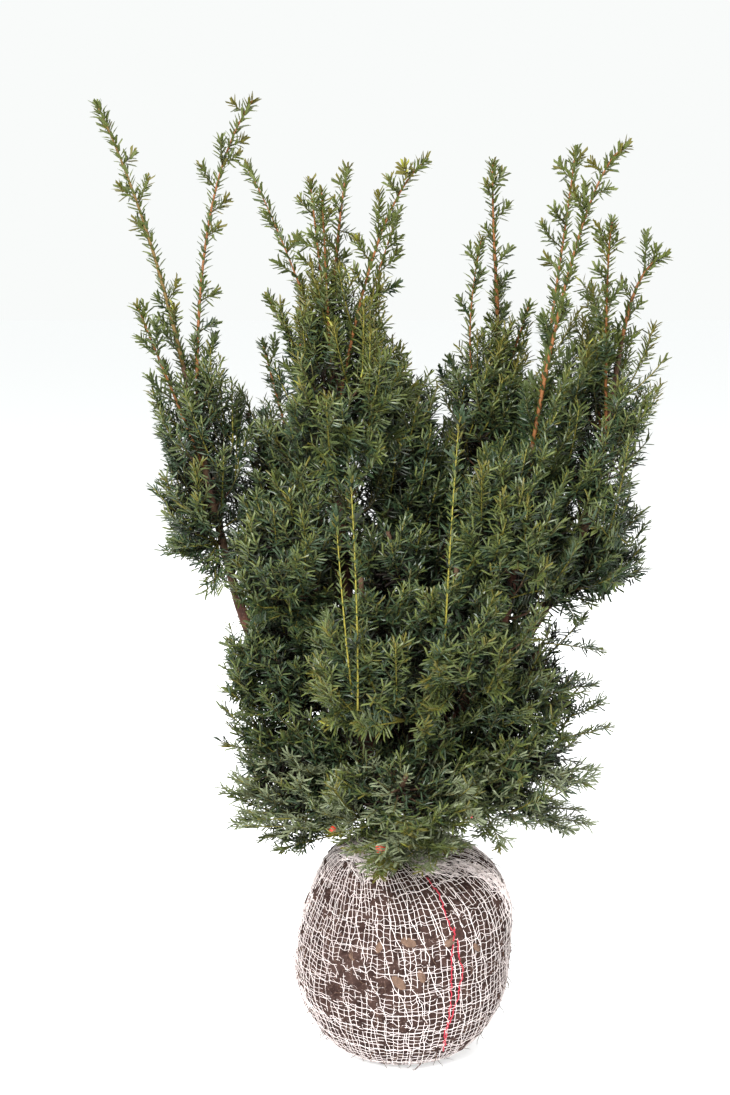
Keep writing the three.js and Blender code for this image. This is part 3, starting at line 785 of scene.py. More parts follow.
class Mass:
    """One mass of foliage: its stem, leaders and branches, placed as the solid's own are."""

    FIRST_SEED, SEED_STEP = 1009, 7919

    def __init__(self, plan: MassPlan, index: int, limbs: dict[str, Limb]) -> None:
        """Sets out the stem and the leaders.

        Args:
            plan: The mass's space and limb.
            index: Its place in the list, which seeds its dice.
            limbs: The trunk and boughs by name.
        """
        self.plan = plan
        self.centre = np.array(plan.centre, float)
        self.radii = np.array(plan.radii, float)
        self.dice = Dice(self.FIRST_SEED + self.SEED_STEP * index)
        self.branches: list[Limb] = []
        self.walls = self._walls()
        first, others = (plan.leaders[0], plan.leaders[1:]) if plan.leaders else (None, ())
        self.stem = self._stem(limbs[plan.limb], first)
        self.top = self.stem.nearest(self.centre + BRANCH_HEIGHTS[1] * self.radii[2] * UP)
        self.stem.bare = self.top if first else STEM_TOP
        self.leaders = [self._leader(leader) for leader in others]

    def _walls(self) -> tuple[np.ndarray, np.ndarray]:
        """The flat boundaries that part this mass's space from every other's, as points and normals."""
        others = [plan for plan in MASSES if plan is not self.plan]
        gap = np.array([plan.centre for plan in others], float) - self.centre
        distance = np.linalg.norm(gap, axis=1)
        normal = gap / distance[:, None]
        own = np.linalg.norm(normal * self.radii, axis=1)
        theirs = np.linalg.norm(normal * np.array([plan.radii for plan in others], float), axis=1)
        return self.centre + normal * (distance * own / (own + theirs))[:, None], normal

    def inside(self, p: np.ndarray) -> np.ndarray:
        """Whether each point of p is in this mass's space."""
        points, normals = self.walls
        depth = np.einsum("pwi,wi->pw", np.atleast_2d(p)[:, None] - points[None], normals)
        return (depth < -CLEARANCE).all(axis=1)

    def _stem(self, limb: Limb, leader: Leader | None) -> Limb:
        """The stem, on from its bough's tip or out from a limb's side."""
        at = self.plan.at
        start = limb.walk(np.array(at))
        outward = unit(self.centre - start)
        axis = unit(outward + UP)
        end = self.centre + axis * STEM_REACH * np.linalg.norm(axis * self.radii)
        end = short_of(start, np.array(leader.tip, float) if leader else end)
        lead = limb.heading(np.array(1.0)) if at == 1 else outward
        second = start + lead * STEM_LEAD * np.linalg.norm(end - start)
        third = np.array(leader.via, float) if leader and leader.via else (self.centre + end) / 2
        return Limb(np.array([start, second, third, end]), (STEM_RADIUS, STEM_RADIUS * TWIG_TAPER))

    def _leader(self, leader: Leader) -> Limb:
        """A leader that leaves the stem."""
        root = self.stem.walk(np.array(leader.leaves * self.top))
        tip = np.array(leader.tip, float)
        through = np.array(leader.via, float) if leader.via else (root + tip) / 2
        return twig_of(root, through, short_of(root, tip), LEADER_RADIUS, LEADER_BARE)

    @property
    def frame(self) -> list[Limb]:
        """The stem and leaders, which other masses' twigs keep clear of."""
        return [self.stem, *self.leaders]

    def _tip(self, way: np.ndarray, size: float) -> np.ndarray | None:
        """A branch's tip in this direction, drawn in from this size of the mass to where there is room."""
        while size > SMALLEST:
            tip = self.centre + way * (self.radii * size - BRANCH_OVERHANG)
            if self.inside(tip)[0]:
                return tip
            size -= SMALLER
        return None

    def _branch(self, angle: float, height: float, lowest: float, reach: float) -> Limb | None:
        """The branch towards this direction, or none where no tip has room."""
        round_ = math.sqrt(1 - height * height)
        tip = self._tip(np.array([round_ * math.cos(angle), round_ * math.sin(angle), height]), reach)
        if tip is None:
            return None
        nearest = self.stem.nearest(tip)
        spread = float(np.linalg.norm(self.stem.walk(np.array(nearest)) - tip))
        share = nearest - SWEEP * spread / self.stem.length
        share = min(max(share, lowest * self.top), STEM_TOP * self.top)
        start = self.stem.walk(np.array(share))
        out, up = BRANCH_BEND
        through = start + (tip - start) * np.array([out, out, up])
        return twig_of(start, through, tip, BRANCH_RADIUS, BRANCH_BARE)

    def _fits(self, branch: Limb, obstacles: Crowd, room: float) -> bool:
        """Whether a branch past its root stays in the mass's space and clear of all that runs through it."""
        path = branch.walk(BRANCH_TESTS)
        own = Crowd([*self.branches, *self.frame], leafless=True)
        return bool(
            self.inside(path).all()
            and (obstacles.clear(path) > CLEARANCE).all()
            and (own.clear(path) > room).all()
        )

    def grow(self, obstacles: Crowd, density: float = BRANCH_DENSITY, room: float = BRANCH_ROOM,
             reach: float = 1.0) -> None:
        """Adds branches from the lowest to the highest, a golden angle apart.

        Args:
            obstacles: What they keep clear of.
            density: Branches for each square millimetre of the mass's mean radius, squared.
            room: The least space between two branches past their roots.
            reach: How far out their tips are tried first, of the mass's radius.
        """
        count = int(math.floor(density * float(np.cbrt(np.prod(self.radii))) ** 2 + 0.5))
        low, high = BRANCH_HEIGHTS
        for i in range(count):
            height = low + (high - low) * (i + 0.5) / count
            for tries in range(TRIES):
                angle = i * GOLDEN_ANGLE + self.dice.between(-JITTER, JITTER) + tries * TRY_TURN
                branch = self._branch(angle, height, self.dice.between(*STEM_FORK), reach)
                if branch and self._fits(branch, obstacles, room):
                    self.branches.append(branch)
                    break


# ---- Foliage ----


@dataclass
class Needles:
    """Needles that have a place and no shape yet.

    Directions are unit vectors: they run along headings, and their upper faces look towards uppers.
    """

    roots: np.ndarray
    headings: np.ndarray
    uppers: np.ndarray
    sizes: np.ndarray
    broads: np.ndarray

    def __len__(self) -> int:
        """How many there are."""
        return len(self.roots)

    def kept(self, which: np.ndarray) -> Needles:
        """Those that which picks out."""
        return Needles(*(values[which] for values in vars(self).values()))

    @staticmethod
    def joined(parts: Iterable[Needles]) -> Needles:
        """All the parts as one."""
        columns = zip(*(vars(part).values() for part in parts))
        return Needles(*(np.concatenate(column) for column in columns))


@dataclass(frozen=True)
class NeedleShape:
    """A needle: flat and sharp, with one edge's shoulder near its root and the other's near its tip.

    Between the shoulders it is as wide all the way. A ridge runs along its upper face.
    """

    width: float = 2.28
    usual: float = 16.0
    shoulders: tuple[float, float] = (0.16, 0.8)
    half: float = 0.8
    ridge: float = 0.3
    bend: float = 0.07

    FACES = np.array([[0, 2, 4], [2, 3, 4], [3, 1, 4], [1, 0, 4], [0, 1, 2], [1, 3, 2]])

    def surface(self, needles: Needles) -> Surface:
        """Shapes the needles, each of five points and six faces.

        Its middle line leaves the heading by the square of the way along it, so that it bends evenly. Its
        width grows by the square root of its length.
        """
        side, upper = across(needles.headings, needles.uppers)
        near, far = self.shoulders
        along = np.array([0, near, far, 1, (near + far) / 2])
        out = np.array([0, -1, 1, 0, 0]) * self.width * self.half
        up = np.array([0, 0, 0, 0, self.ridge * self.width])
        length = needles.sizes[:, None, None]
        slim = np.sqrt(length / self.usual) * needles.broads[:, None, None]
        points = (
            needles.roots[:, None]
            + needles.headings[:, None] * along[:, None] * length
            + side[:, None] * out[:, None] * slim
            + upper[:, None] * (up[:, None] * slim - self.bend * length * along[:, None] ** 2)
        )
        faces = self.FACES[None] + len(along) * np.arange(len(needles))[:, None, None]
        return Surface(points.reshape(-1, 3), faces.reshape(-1, 3))


@dataclass
class Growth:
    """All that has grown so far."""

    needles: dict[Tint, list[Needles]] = field(default_factory=dict)
    wood: dict[Finish, list[Surface]] = field(default_factory=dict)

    def add_wood(self, finish: Finish, part: Surface) -> None:
        """Adds tubes of wood in this finish."""
        if len(part.faces):
            self.wood.setdefault(finish, []).append(part)

    def add_needles(self, tints: np.ndarray, needles: Needles) -> None:
        """Adds needles, each in the tint of its number in the order of Tint."""
        for number, tint in enumerate(Tint):
            own = tints == number
            if own.any():
                self.needles.setdefault(tint, []).append(needles.kept(own))


@dataclass(frozen=True)
class Habit:
    """How needles stand on a shoot.

    Attributes:
        step: The length of shoot to one needle.
        length: Of a full needle.
        open: The angle from the shoot to a needle half way along, in radians.
        ranked: How many of the needles are parted into two ranks where the shoot isn't steep.
        first: The part of the shoot that has none.
        crowd: How much the needles crowd towards the tip, from 0.
        broad: Their width, of the usual one.
    """

    step: float
    length: float
    open: float
    ranked: float
    first: float = 0.05
    crowd: float = 0.0
    broad: float = 1.0


SPRAY = Habit(step=2.3, length=15.5, open=1.0, ranked=0.7, crowd=0.2)
OUTER = Habit(step=1.7, length=15.5, open=0.95, ranked=0.88, first=0.12, crowd=0.15)
INNER = Habit(step=7.0, length=13.5, open=1.15, ranked=0.5, first=0.2)
LEADER_NEEDLES = Habit(step=1.8, length=15.4, open=0.78, ranked=0.0, first=0.0, broad=1.55)
YOUNG_NEEDLES = Habit(step=2.3, length=12.5, open=0.85, ranked=0.0, first=0.0, broad=1.15)
SPUR_NEEDLES = Habit(step=1.15, length=14.6, open=0.82, ranked=0.0, first=0.1, crowd=0.2, broad=1.45)
NEEDLE = NeedleShape()


# Main and finer branches, and the twigs that come straight from a bough.
FINE_DENSITY, FINE_ROOM, FINE_REACH = 0.0024, 5.0, 0.78
MAIN_REACH, INNER_REACH = 0.86, 0.76
BOUGH_BARE, BOUGH_TWIG_STEP, BOUGH_TWIG_SIZE = 0.1, 9.0, (50.0, 115.0)
BOUGH_ONWARD, BOUGH_UPWARD = 0.5, 0.55
BOUGH_REACH = {"bough_left": 0.95, "bough_right": 0.92}
OPEN_REACH = 1.2
# The long sprays over the masses: their tips, their lengths and lean, and their forks.
OUTER_DENSITY, OUTER_TURN = 0.0088, 0.2
OUTER_REACH, OUTER_SHELL = (0.78, 1.01), 0.78
OUTER_DEPTH, OUTER_GAP = 0.12, 39.0
OUTER_SIZE, OUTER_SPAN = (60.0, 115.0), (34.0, 150.0)
OUTER_HEIGHTS = (290.0, 380.0, 500.0, 720.0, 900.0)
OUTER_RISE = (0.1, 0.75, 1.4, 2.0, 2.8)
OUTER_LEAN, OUTER_BEND = 0.16, (0.62, 0.62, 0.42)
OUTER_FORKS, OUTER_ROLL = (0.34, 0.5, 0.66, 0.82), 0.22
# Side shoots. Where there are two shares or rises, the first is above the skirt's top.
INNER_SHELL = 0.42
SHOOT_BARE, SHOOT_STEP, SHOOT_JITTER = 0.15, 13.5, 0.6
SHOOT_ANGLE, SHOOT_STRAY = 0.82, 0.1
SHOOT_LEAST, SHOOT_SHARE, SHOOT_MOST = 20.0, 0.4, 74.0
SHOOT_SPREAD, SHOOT_RISE = (0.7, 1.15), (0.4, 0.1)
SHOOT_ONWARD, SHOOT_UPWARD = 0.3, 0.8
UPRIGHT_SHARE, UPRIGHT_SIZE = (0.45, 0.2), (30.0, 78.0)
UPRIGHT_ROLL, FLAT_ROLL = (1.3, 0.35), (0.1, 0.25)
OWN_NEEDLES = 0.35
# Forks of side shoots and of long sprays.
INNER_FORKS, INNER_ROLL = (0.42, 0.58, 0.74), 0.5
FORK_LEAST, FORK_SIZE, FORK_TAPER = 36.0, (16.0, 30.0), (1.3, 0.7)
FORK_JITTER, FORK_LIFT, FORK_OUT = 0.06, 0.15, 0.9
FORK_ONWARD, FORK_UPWARD = 0.35, 0.12
# The radius of each kind of wood at its foot and tip.
STEM_NECK, STEM_TIP, LEADER_TAPER = 2.8, 0.9, 0.42
BRANCH_WOOD = (1.6, 1.1, 0.7)
OUTER_WOOD, OUTER_FORK_WOOD = (1.2, 0.7), (0.8, 0.55)
SHOOT_WOOD, FORK_WOOD, SPUR_WOOD = (0.95, 0.6), (0.75, 0.55), (1.0, 0.65)
# Leaders: their last stretch, their spurs, and the short shoots that come of themselves.
STRETCH = 60.0
LEADER_END, LEADER_TUFT = 7.0, 16.0
SPUR_BEND, SPUR_STRAY = (0.62, 0.5, 0.38), 7.0
BUD_OUT, BUD_ONWARD, BUD_SIZE = 0.9, 0.5, (7.0, 16.0)
BUSHY_TOP, BUSHY_SHARE, BUSHY_SIZE = (800.0, 940.0), 0.7, (22.0, 62.0)
SPUR_SPREAD, SPUR_RUNGS = 0.4, (-0.3, 0.5)
# The crown's edge, which goes in and out by clumps, and the gaps in it.
CLUMP, CLUMP_DEPTH, RAGGED = 44.0, 0.24, (0.93, 1.05)
GAP, GAP_LEVEL, GAP_SHELL, GAP_SHIFT = 26.0, -0.25, 0.5, 300.0
DRAWN_IN = (1.0, 0.7, 0.45)
CROWN_CENTRE = np.array([0.0, 20.0, 600.0])
NEARLY_UPRIGHT = 1.02
SKIRT_TOP = 410.0
# The rungs of the ladder of tints, by height, by how far out and how far to the front a shoot ends.
LEVEL_HEIGHTS = (300.0, 450.0, 620.0, 800.0, 950.0, 1100.0)
LEVELS = (2.7, 2.6, 2.0, 2.4, 4.2, 4.7)
TOP_LEVEL, LEVEL_SPREAD, TIP_RISE = 3.8, 0.6, 2.0
# Painted shade: lower, darker rungs the deeper in a mass, also for the browner older needles there.
INWARD_SHADE, INWARD_SPAN = 2.2, (0.35, 0.6)
FRONT_GAIN, FRONT_FACE = 0.9, (-90.0, -160.0)
DULL_SHARE, DULL_SHELL, DULL_CORE = 0.5, 0.4, 0.3
# The crown's heart: needles there take painted shade, twigs reach further and shoots carry fewer needles.
CORE, CORE_SIZE = np.array([10.0, 0.0, 480.0]), np.array([150.0, 85.0, 190.0])
CORE_SHADE, CORE_REACH, CORE_INNER = 2.0, 0.45, 0.5
# How needles stand, whatever their habit.
FEWEST = 4
STEEP_SPAN, RANK, ROUND_STRAY = (0.6, 0.3), (0.25, 0.25), 0.15
LEAN, LEAN_LESS, LEAN_SPAN, LEAN_STRAY = 1.14, 0.5, (0.4, 0.6), 0.1
LOOK_BACK, TWIST = 0.6, 0.22
AT_FOOT, GAIN, GAIN_SPAN, LOSS, LOSS_SPAN = 0.65, 0.35, (0.0, 0.2), 0.15, (0.8, 0.2)
NEEDLE_SIZES, RUNG_STRAY = (0.8, 1.12), 0.3

# For each mass, the tips of long sprays set out for it: a place, and the spray's rise to one outward.
TIPS = {
    "skirt_left": (
        (-220, -20, 335, 0.1), (-195, -60, 325, 0.1), (-220, 0, 440, 0.8), (-84, -78, 316, 0.1),
        (-212, -20, 422, 0.5), (-214, -30, 400, 0.3)),
    "skirt_right": (
        (115, -100, 297, 0.1), (135, -50, 312, 0.2), (230, -30, 298, 0.0), (205, -60, 302, 0.0),
        (240, -30, 452, 0.3), (247, -60, 432, 0.1), (225, -40, 374, 0.1)),
    "skirt_front": ((30, -150, 292, 0.1), (-27, -126, 296, 0.2), (78, -103, 343, 0.4)),
    "flank_right": ((235, 0, 467, 0.6), (238, -20, 516, 0.1), (222, 0, 556, 0.9)),
    "flank_left": (
        (-204, -20, 505, 1.5), (-214, 0, 562, 1.5), (-206, -40, 535, 1.5), (-200, -60, 500, 1.5)),
    "shoulder_right": ((296, 20, 665, 0.9), (225, -30, 575, 0.3), (205, -50, 560, 0.3)),
    "crown_right": (
        (295, 0, 905, 2.5), (220, 0, 950, 3.0), (245, 0, 890, 2.5), (308, 0, 865, 1.8),
        (306, 10, 835, 1.6)),
    "heart_right": ((176, -85, 838, 2.5), (168, -90, 808, 2.5), (186, -85, 862, 2.5), (160, -80, 785, 2.5)),
    "crown_middle": ((210, 40, 920, 2.5), (150, 30, 905, 2.5)),
    "crown_left": (
        (-300, 20, 825, 1.2), (-280, 0, 632, 0.8), (-235, -20, 622, 0.6), (-220, -20, 607, 0.6),
        (-226, -30, 592, 0.8), (-300, 0, 712, 1.0)),
    "crown_centre": (
        (-108, -40, 978, 3.0), (-92, -30, 985, 3.0), (-76, -20, 975, 3.0), (-100, -50, 955, 3.0),
        (-160, 0, 940, 2.0), (-145, -20, 930, 2.0), (-120, 0, 950, 3.0), (-30, -30, 960, 3.0)),
}
# Where no shoot ends: each hollow's middle, and how far it reaches from there along each axis.
HOLLOWS = np.array([
    (5, -200, 405, 44, 68, 50), (192, -20, 516, 36, 90, 15), (283, 0, 711, 46, 90, 24),
    (307, 0, 768, 28, 90, 50), (-172, 20, 905, 20, 120, 78), (-153, 20, 826, 20, 120, 28),
    (-186, 30, 828, 12, 120, 40), (15, 30, 925, 38, 120, 55), (48, 30, 905, 30, 120, 42),
    (178, 20, 882, 9, 120, 38), (-266, 0, 528, 38, 120, 52), (-312, 0, 690, 22, 90, 36),
    (215, -35, 402, 46, 110, 20), (214, -35, 344, 46, 110, 22), (250, -20, 486, 34, 110, 13),
    (-165, -50, 320, 26, 90, 13), (-140, -100, 290, 30, 60, 12), (300, 0, 596, 34, 90, 18),
    (-205, 80, 668, 9, 220, 40), (-226, -20, 504, 15, 90, 30), (-208, -20, 459, 25, 90, 9),
    (-160, -80, 313, 24, 80, 20), (-302, 0, 735, 16, 90, 42), (-298, 0, 666, 13, 90, 15),
    (303, 0, 858, 15, 90, 22), (302, 0, 655, 13, 90, 20), (42, 40, 887, 22, 60, 26),
    (8, 40, 858, 18, 60, 15), (152, 30, 860, 8, 60, 38), (-198, 80, 745, 15, 220, 42),
    (-163, 0, 836, 15, 60, 24), (172, -20, 533, 14, 90, 13), (-62, -90, 885, 13, 55, 90),
    (-94, -120, 905, 11, 45, 80), (-69, -125, 615, 15, 88, 62), (129, -130, 606, 14, 62, 44),
    (62, -150, 470, 22, 80, 40),
], float).reshape(-1, 2, 3)


class Shoots:
    """Many thin shoots at once, each a quadratic curve."""

    def __init__(self, starts: np.ndarray, middles: np.ndarray, ends: np.ndarray, lifts: np.ndarray) -> None:
        """Takes the curves' points.

        Args:
            starts: Where the shoots start, as (shoots, 3).
            middles: The points that they bend towards.
            ends: Their tips.
            lifts: Which way is up for each.
        """
        self.starts, self.middles, self.ends, self.lifts = starts, middles, ends, lifts
        legs = np.linalg.norm(middles - starts, axis=1) + np.linalg.norm(ends - middles, axis=1)
        self.lengths = (legs + 2 * np.linalg.norm(ends - starts, axis=1)) / 3

    def __len__(self) -> int:
        """How many shoots there are."""
        return len(self.starts)

    @staticmethod
    def joined(parts: Sequence[Shoots]) -> Shoots:
        """All the parts as one."""
        rows = ((part.starts, part.middles, part.ends, part.lifts) for part in parts)
        return Shoots(*(np.concatenate(column) for column in zip(*rows)))

    def kept(self, which: np.ndarray) -> Shoots:
        """Those shoots that which picks out."""
        return Shoots(self.starts[which], self.middles[which], self.ends[which], self.lifts[which])

    def shorter(self, share: float) -> Shoots:
        """The same shoots, each drawn in to this share of its length."""
        middles, ends = (self.starts + (p - self.starts) * share for p in (self.middles, self.ends))
        return Shoots(self.starts, middles, ends, self.lifts)

    def _spread(self, t: np.ndarray) -> tuple[np.ndarray, ...]:
        """The share t, one row for each shoot, and the curves' three points to go with it."""
        t = np.broadcast_to(t, (len(self), np.shape(t)[-1]))[..., None]
        return (t, *(p[:, None] for p in (self.starts, self.middles, self.ends)))

    def at(self, t: np.ndarray) -> np.ndarray:
        """The curves' points at t, which has a row for each shoot or one row for all."""
        t, a, b, c = self._spread(t)
        return (1 - t) ** 2 * a + 2 * (1 - t) * t * b + t * t * c

    def heading(self, t: np.ndarray) -> np.ndarray:
        """The curves' unit directions at t."""
        t, a, b, c = self._spread(t)
        return unit((1 - t) * (b - a) + t * (c - b))

    def wood(self, widths: tuple[float, float], rings: int = 3, sides: int = 3) -> Surface:
        """The shoots as tubes, from the first radius to the second."""
        t = np.linspace(0, 1, rings)
        return tubes(self.at(t), np.broadcast_to(np.linspace(*widths, rings), (len(self), rings)), sides)


def along_limb(limb: Limb, first: float, last: float) -> Shoots:
    """The stretch of a limb between two shares of its length, as shoots that follow one on another."""
    cuts = np.linspace(first, last, max(2, int((last - first) * limb.length / STRETCH) + 1))
    a, b, c = limb.walk(cuts[:-1]), limb.walk((cuts[:-1] + cuts[1:]) / 2), limb.walk(cuts[1:])
    return Shoots(a, 2 * b - (a + c) / 2, c, np.broadcast_to(UP, a.shape))


def lift_of(headings: np.ndarray, outward: np.ndarray) -> np.ndarray:
    """Which way shoots' upper sides look: up where they lie flat, and outward the steeper they are."""
    steep = np.abs(headings[:, 2:])
    return unit(UP * (NEARLY_UPRIGHT - steep) + outward * steep)


class Foliage:
    """Grows the crown: the solids' own stems, leaders and branches, then finer ones, then the needles."""

    # The tints from dark to light; painted shade takes a needle down this ladder.
    LADDER = (Tint.SHADED_BRONZE, Tint.DEEP, Tint.PINE, Tint.MOSS, Tint.LEAF, Tint.OLIVE, Tint.FRESH)

    def __init__(self, limbs: Sequence[Limb], seed: int = 5) -> None:
        """Sets out the masses.

        Args:
            limbs: The trunk and boughs.
            seed: For what the solids don't have.
        """
        self.limbs = list(limbs)
        self.random = np.random.default_rng(seed)
        self.growth = Growth()
        self.grain = Grain(17)
        by_name = {limb.name: limb for limb in limbs}
        self.masses = [Mass(plan, index, by_name) for index, plan in enumerate(MASSES)]
        self.centres = np.array([mass.centre for mass in self.masses])
        self.radii = np.array([mass.radii for mass in self.masses])

    def grow(self) -> Growth:
        """Grows each mass, and returns all that has grown."""
        frames = [limb for mass in self.masses for limb in mass.frame]
        all_wood = Crowd([*self.limbs, *frames], leafless=True)
        for mass in self.masses:
            others = [limb for other in self.masses if other is not mass for limb in other.frame]
            mass.grow(Crowd([*self.limbs, *others], leafless=False))
            main = len(mass.branches)
            mass.grow(Crowd([*self.limbs, *others], leafless=True), FINE_DENSITY, FINE_ROOM, FINE_REACH)
            log.info("%s: %d branches, and %d finer ones", mass.plan.name, main, len(mass.branches) - main)
            self._frame(mass)
            self._sprays(mass.branches[:main], MAIN_REACH, all_wood)
            fine = mass.branches[main:] + ([] if mass.plan.leaders else [mass.stem])
            self._sprays(fine, INNER_REACH, all_wood)
            self._outer(mass, all_wood)
        for bough in self.limbs[1:]:
            reach = BOUGH_REACH.get(bough.name, OPEN_REACH)
            twigs = self._bough_twigs(bough)
            tips = np.array([twig.points[-1] for twig in twigs])
            held = self._shell(tips) < reach + CORE_REACH * self._core(tips)
            twigs = [twig for twig, fits in zip(twigs, held) if fits]
            self._sprays(twigs, reach, all_wood)
        return self.growth

    def _outer(self, mass: Mass, wood: Crowd) -> None:
        """Long sprays over a mass, whose tips lie a golden angle apart round it, and those set out for it."""
        random = self.random
        count = int(OUTER_DENSITY * np.cbrt(np.prod(mass.radii)) ** 2)
        height = 1 - 2 * (np.arange(count) + 0.5) / count
        turn = np.arange(count) * GOLDEN_ANGLE + random.normal(0, OUTER_TURN, count)
        flat = np.sqrt(1 - height**2)
        way = np.stack([flat * np.cos(turn), flat * np.sin(turn), height], -1)
        tips = mass.centre + way * mass.radii * random.uniform(*OUTER_REACH, (count, 1))
        tips += way * mass.radii * OUTER_DEPTH * self.grain.at(tips, CLUMP)[:, None]
        gap = self.grain.at(tips + GAP_SHIFT, OUTER_GAP) < GAP_LEVEL
        tips = tips[(self._shell(tips) > OUTER_SHELL) & ~gap & ~self._hollow(tips)]
        rise = np.interp(tips[:, 2], OUTER_HEIGHTS, OUTER_RISE)
        placed = np.array(TIPS.get(mass.plan.name, ()), float).reshape(-1, 4)
        tips, rise = np.concatenate([tips, placed[:, :3]]), np.concatenate([rise, placed[:, 3]])
        sprays = self._reaching(mass, tips, rise[:, None])
        sprays = sprays.kept(self._clear(sprays, wood))
        log.info("%s: %d long sprays", mass.plan.name, len(sprays))
        forks = self._forks(sprays, OUTER_FORKS, OUTER_ROLL)
        forks = forks.kept(~self._hollow(forks.ends))
        self.growth.add_wood(YOUNG_TWIG, sprays.wood(OUTER_WOOD, rings=4))
        self.growth.add_wood(GREEN_TWIG, forks.wood(OUTER_FORK_WOOD, rings=2))
        self._needle(sprays, OUTER, self._levels(sprays))
        self._needle(forks, OUTER, self._levels(forks))

    def _reaching(self, mass: Mass, tips: np.ndarray, rise: np.ndarray) -> Shoots:
        """Long shoots that end at these tips, each from the wood of the mass next to its foot's place.

        Args:
            mass: The mass that they are part of.
            tips: Where they end.
            rise: Their rise to one outward, which says where a foot's place lies, back from its tip.
        """
        random = self.random
        out = unit((tips - CROWN_CENTRE) * LEVEL) + unit((tips - mass.centre) * LEVEL)
        lean = unit(unit(out) + UP * rise + random.normal(0, OUTER_LEAN, tips.shape))
        feet = tips - lean * random.uniform(*OUTER_SIZE, (len(tips), 1))
        wood = np.concatenate([limb.samples[SAMPLES // 5 :] for limb in (*mass.branches, *mass.frame)])
        wood = wood[np.linalg.norm((wood - mass.centre) / mass.radii, axis=1) < 1]
        gap = np.linalg.norm(feet[:, None] - wood[None], axis=-1)
        starts = wood[np.argmin(gap, axis=1)]
        length = np.linalg.norm(tips - starts, axis=1)
        low, high = OUTER_SPAN
        held = (length > low) & (length < high)
        starts, tips = starts[held], tips[held]
        middles = starts + (tips - starts) * OUTER_BEND
        return Shoots(starts, middles, tips, lift_of(lean[held], unit(out[held])))

    def _frame(self, mass: Mass) -> None:
        """Gives a mass's stem and leaders their wood, and the leaders their needles."""
        self.growth.add_wood(OLD_TWIG, mass.stem.tube(8, 24, (STEM_RADIUS, STEM_NECK), (0, mass.top)))
        if not mass.plan.leaders:
            self.growth.add_wood(GREEN_TWIG, mass.stem.tube(6, 12, (STEM_NECK, STEM_TIP), (mass.top, 1)))
            return
        for number, limb in enumerate(mass.frame):
            look = LOOKS.get((mass.plan.name, number), LeaderLook())
            first, bare = (mass.top, mass.top * 0.9) if number == 0 else (0.0, 0.1)
            foot = STEM_NECK if number == 0 else look.radius
            if look.course:
                start, via = (np.array(p, float) for p in look.course)
                limb, first, bare, foot = twig_of(start, via, limb.points[-1], 1, 1), 0.0, 0.05, look.radius
            radii = foot, look.radius * LEADER_TAPER
            self.growth.add_wood(look.bark, limb.tube(6, 24, radii, (first, look.shown)))
            self._leader(limb, bare, look)

    def _bough_twigs(self, bough: Limb) -> list[Limb]:
        """Twigs straight from a bough's side, a golden angle apart, which rise as they spread."""
        twigs = []
        for i, share in enumerate(np.arange(BOUGH_BARE, 1.0, BOUGH_TWIG_STEP / bough.length)):
            start, heading = bough.walk(np.array(share)), bough.heading(np.array(share))
            side, lift = across(heading, np.array([0.0, -1.0, 0.0]))
            turn = i * GOLDEN_ANGLE
            way = unit(side * math.cos(turn) + lift * math.sin(turn) + BOUGH_ONWARD * heading)
            size = self.random.uniform(*BOUGH_TWIG_SIZE)
            end = start + unit(way + BOUGH_UPWARD * UP) * size
            twigs.append(twig_of(start, start + way * size / 2, end, BRANCH_RADIUS, BRANCH_BARE))
        return twigs

    def _sprays(self, branches: Sequence[Limb], reach: float, wood: Crowd) -> None:
        """Gives branches their wood, side shoots and needles.

        Args:
            branches: The branches.
            reach: How far out their shoots may go, of a mass's radius.
            wood: What the shoots keep clear of.
        """
        thick, middling, thin = BRANCH_WOOD
        for branch in branches:
            self.growth.add_wood(OLD_TWIG, branch.tube(4, 6, (thick, middling), (0, 0.5)))
            self.growth.add_wood(GREEN_TWIG, branch.tube(4, 6, (middling, thin), (0.5, 1)))
        shoots = Shoots.joined([self._side_shoots(branch) for branch in branches])
        shoots = self._fitted(shoots, reach, wood)
        long = shoots.kept(shoots.lengths > FORK_LEAST)
        forks = self._fitted(self._forks(long, INNER_FORKS, INNER_ROLL), reach, wood)
        own = Shoots.joined([along_limb(branch, OWN_NEEDLES, 1.0) for branch in branches])
        for part, widths in ((shoots, SHOOT_WOOD), (forks, FORK_WOOD), (own, None)):
            # Shoots deep inside take sparse needles and darker bark, the bark partly painted shade.
            inner = (self._shell(part.ends) < INNER_SHELL) | (self._core(part.ends) > CORE_INNER)
            for which, habit, bark in ((inner, INNER, OLD_SHADED_SHOOT), (~inner, SPRAY, GREEN_TWIG)):
                chosen = part.kept(which)
                if not len(chosen):
                    continue
                if widths:
                    self.growth.add_wood(bark, chosen.wood(widths))
                self._needle(chosen, habit, self._levels(chosen))

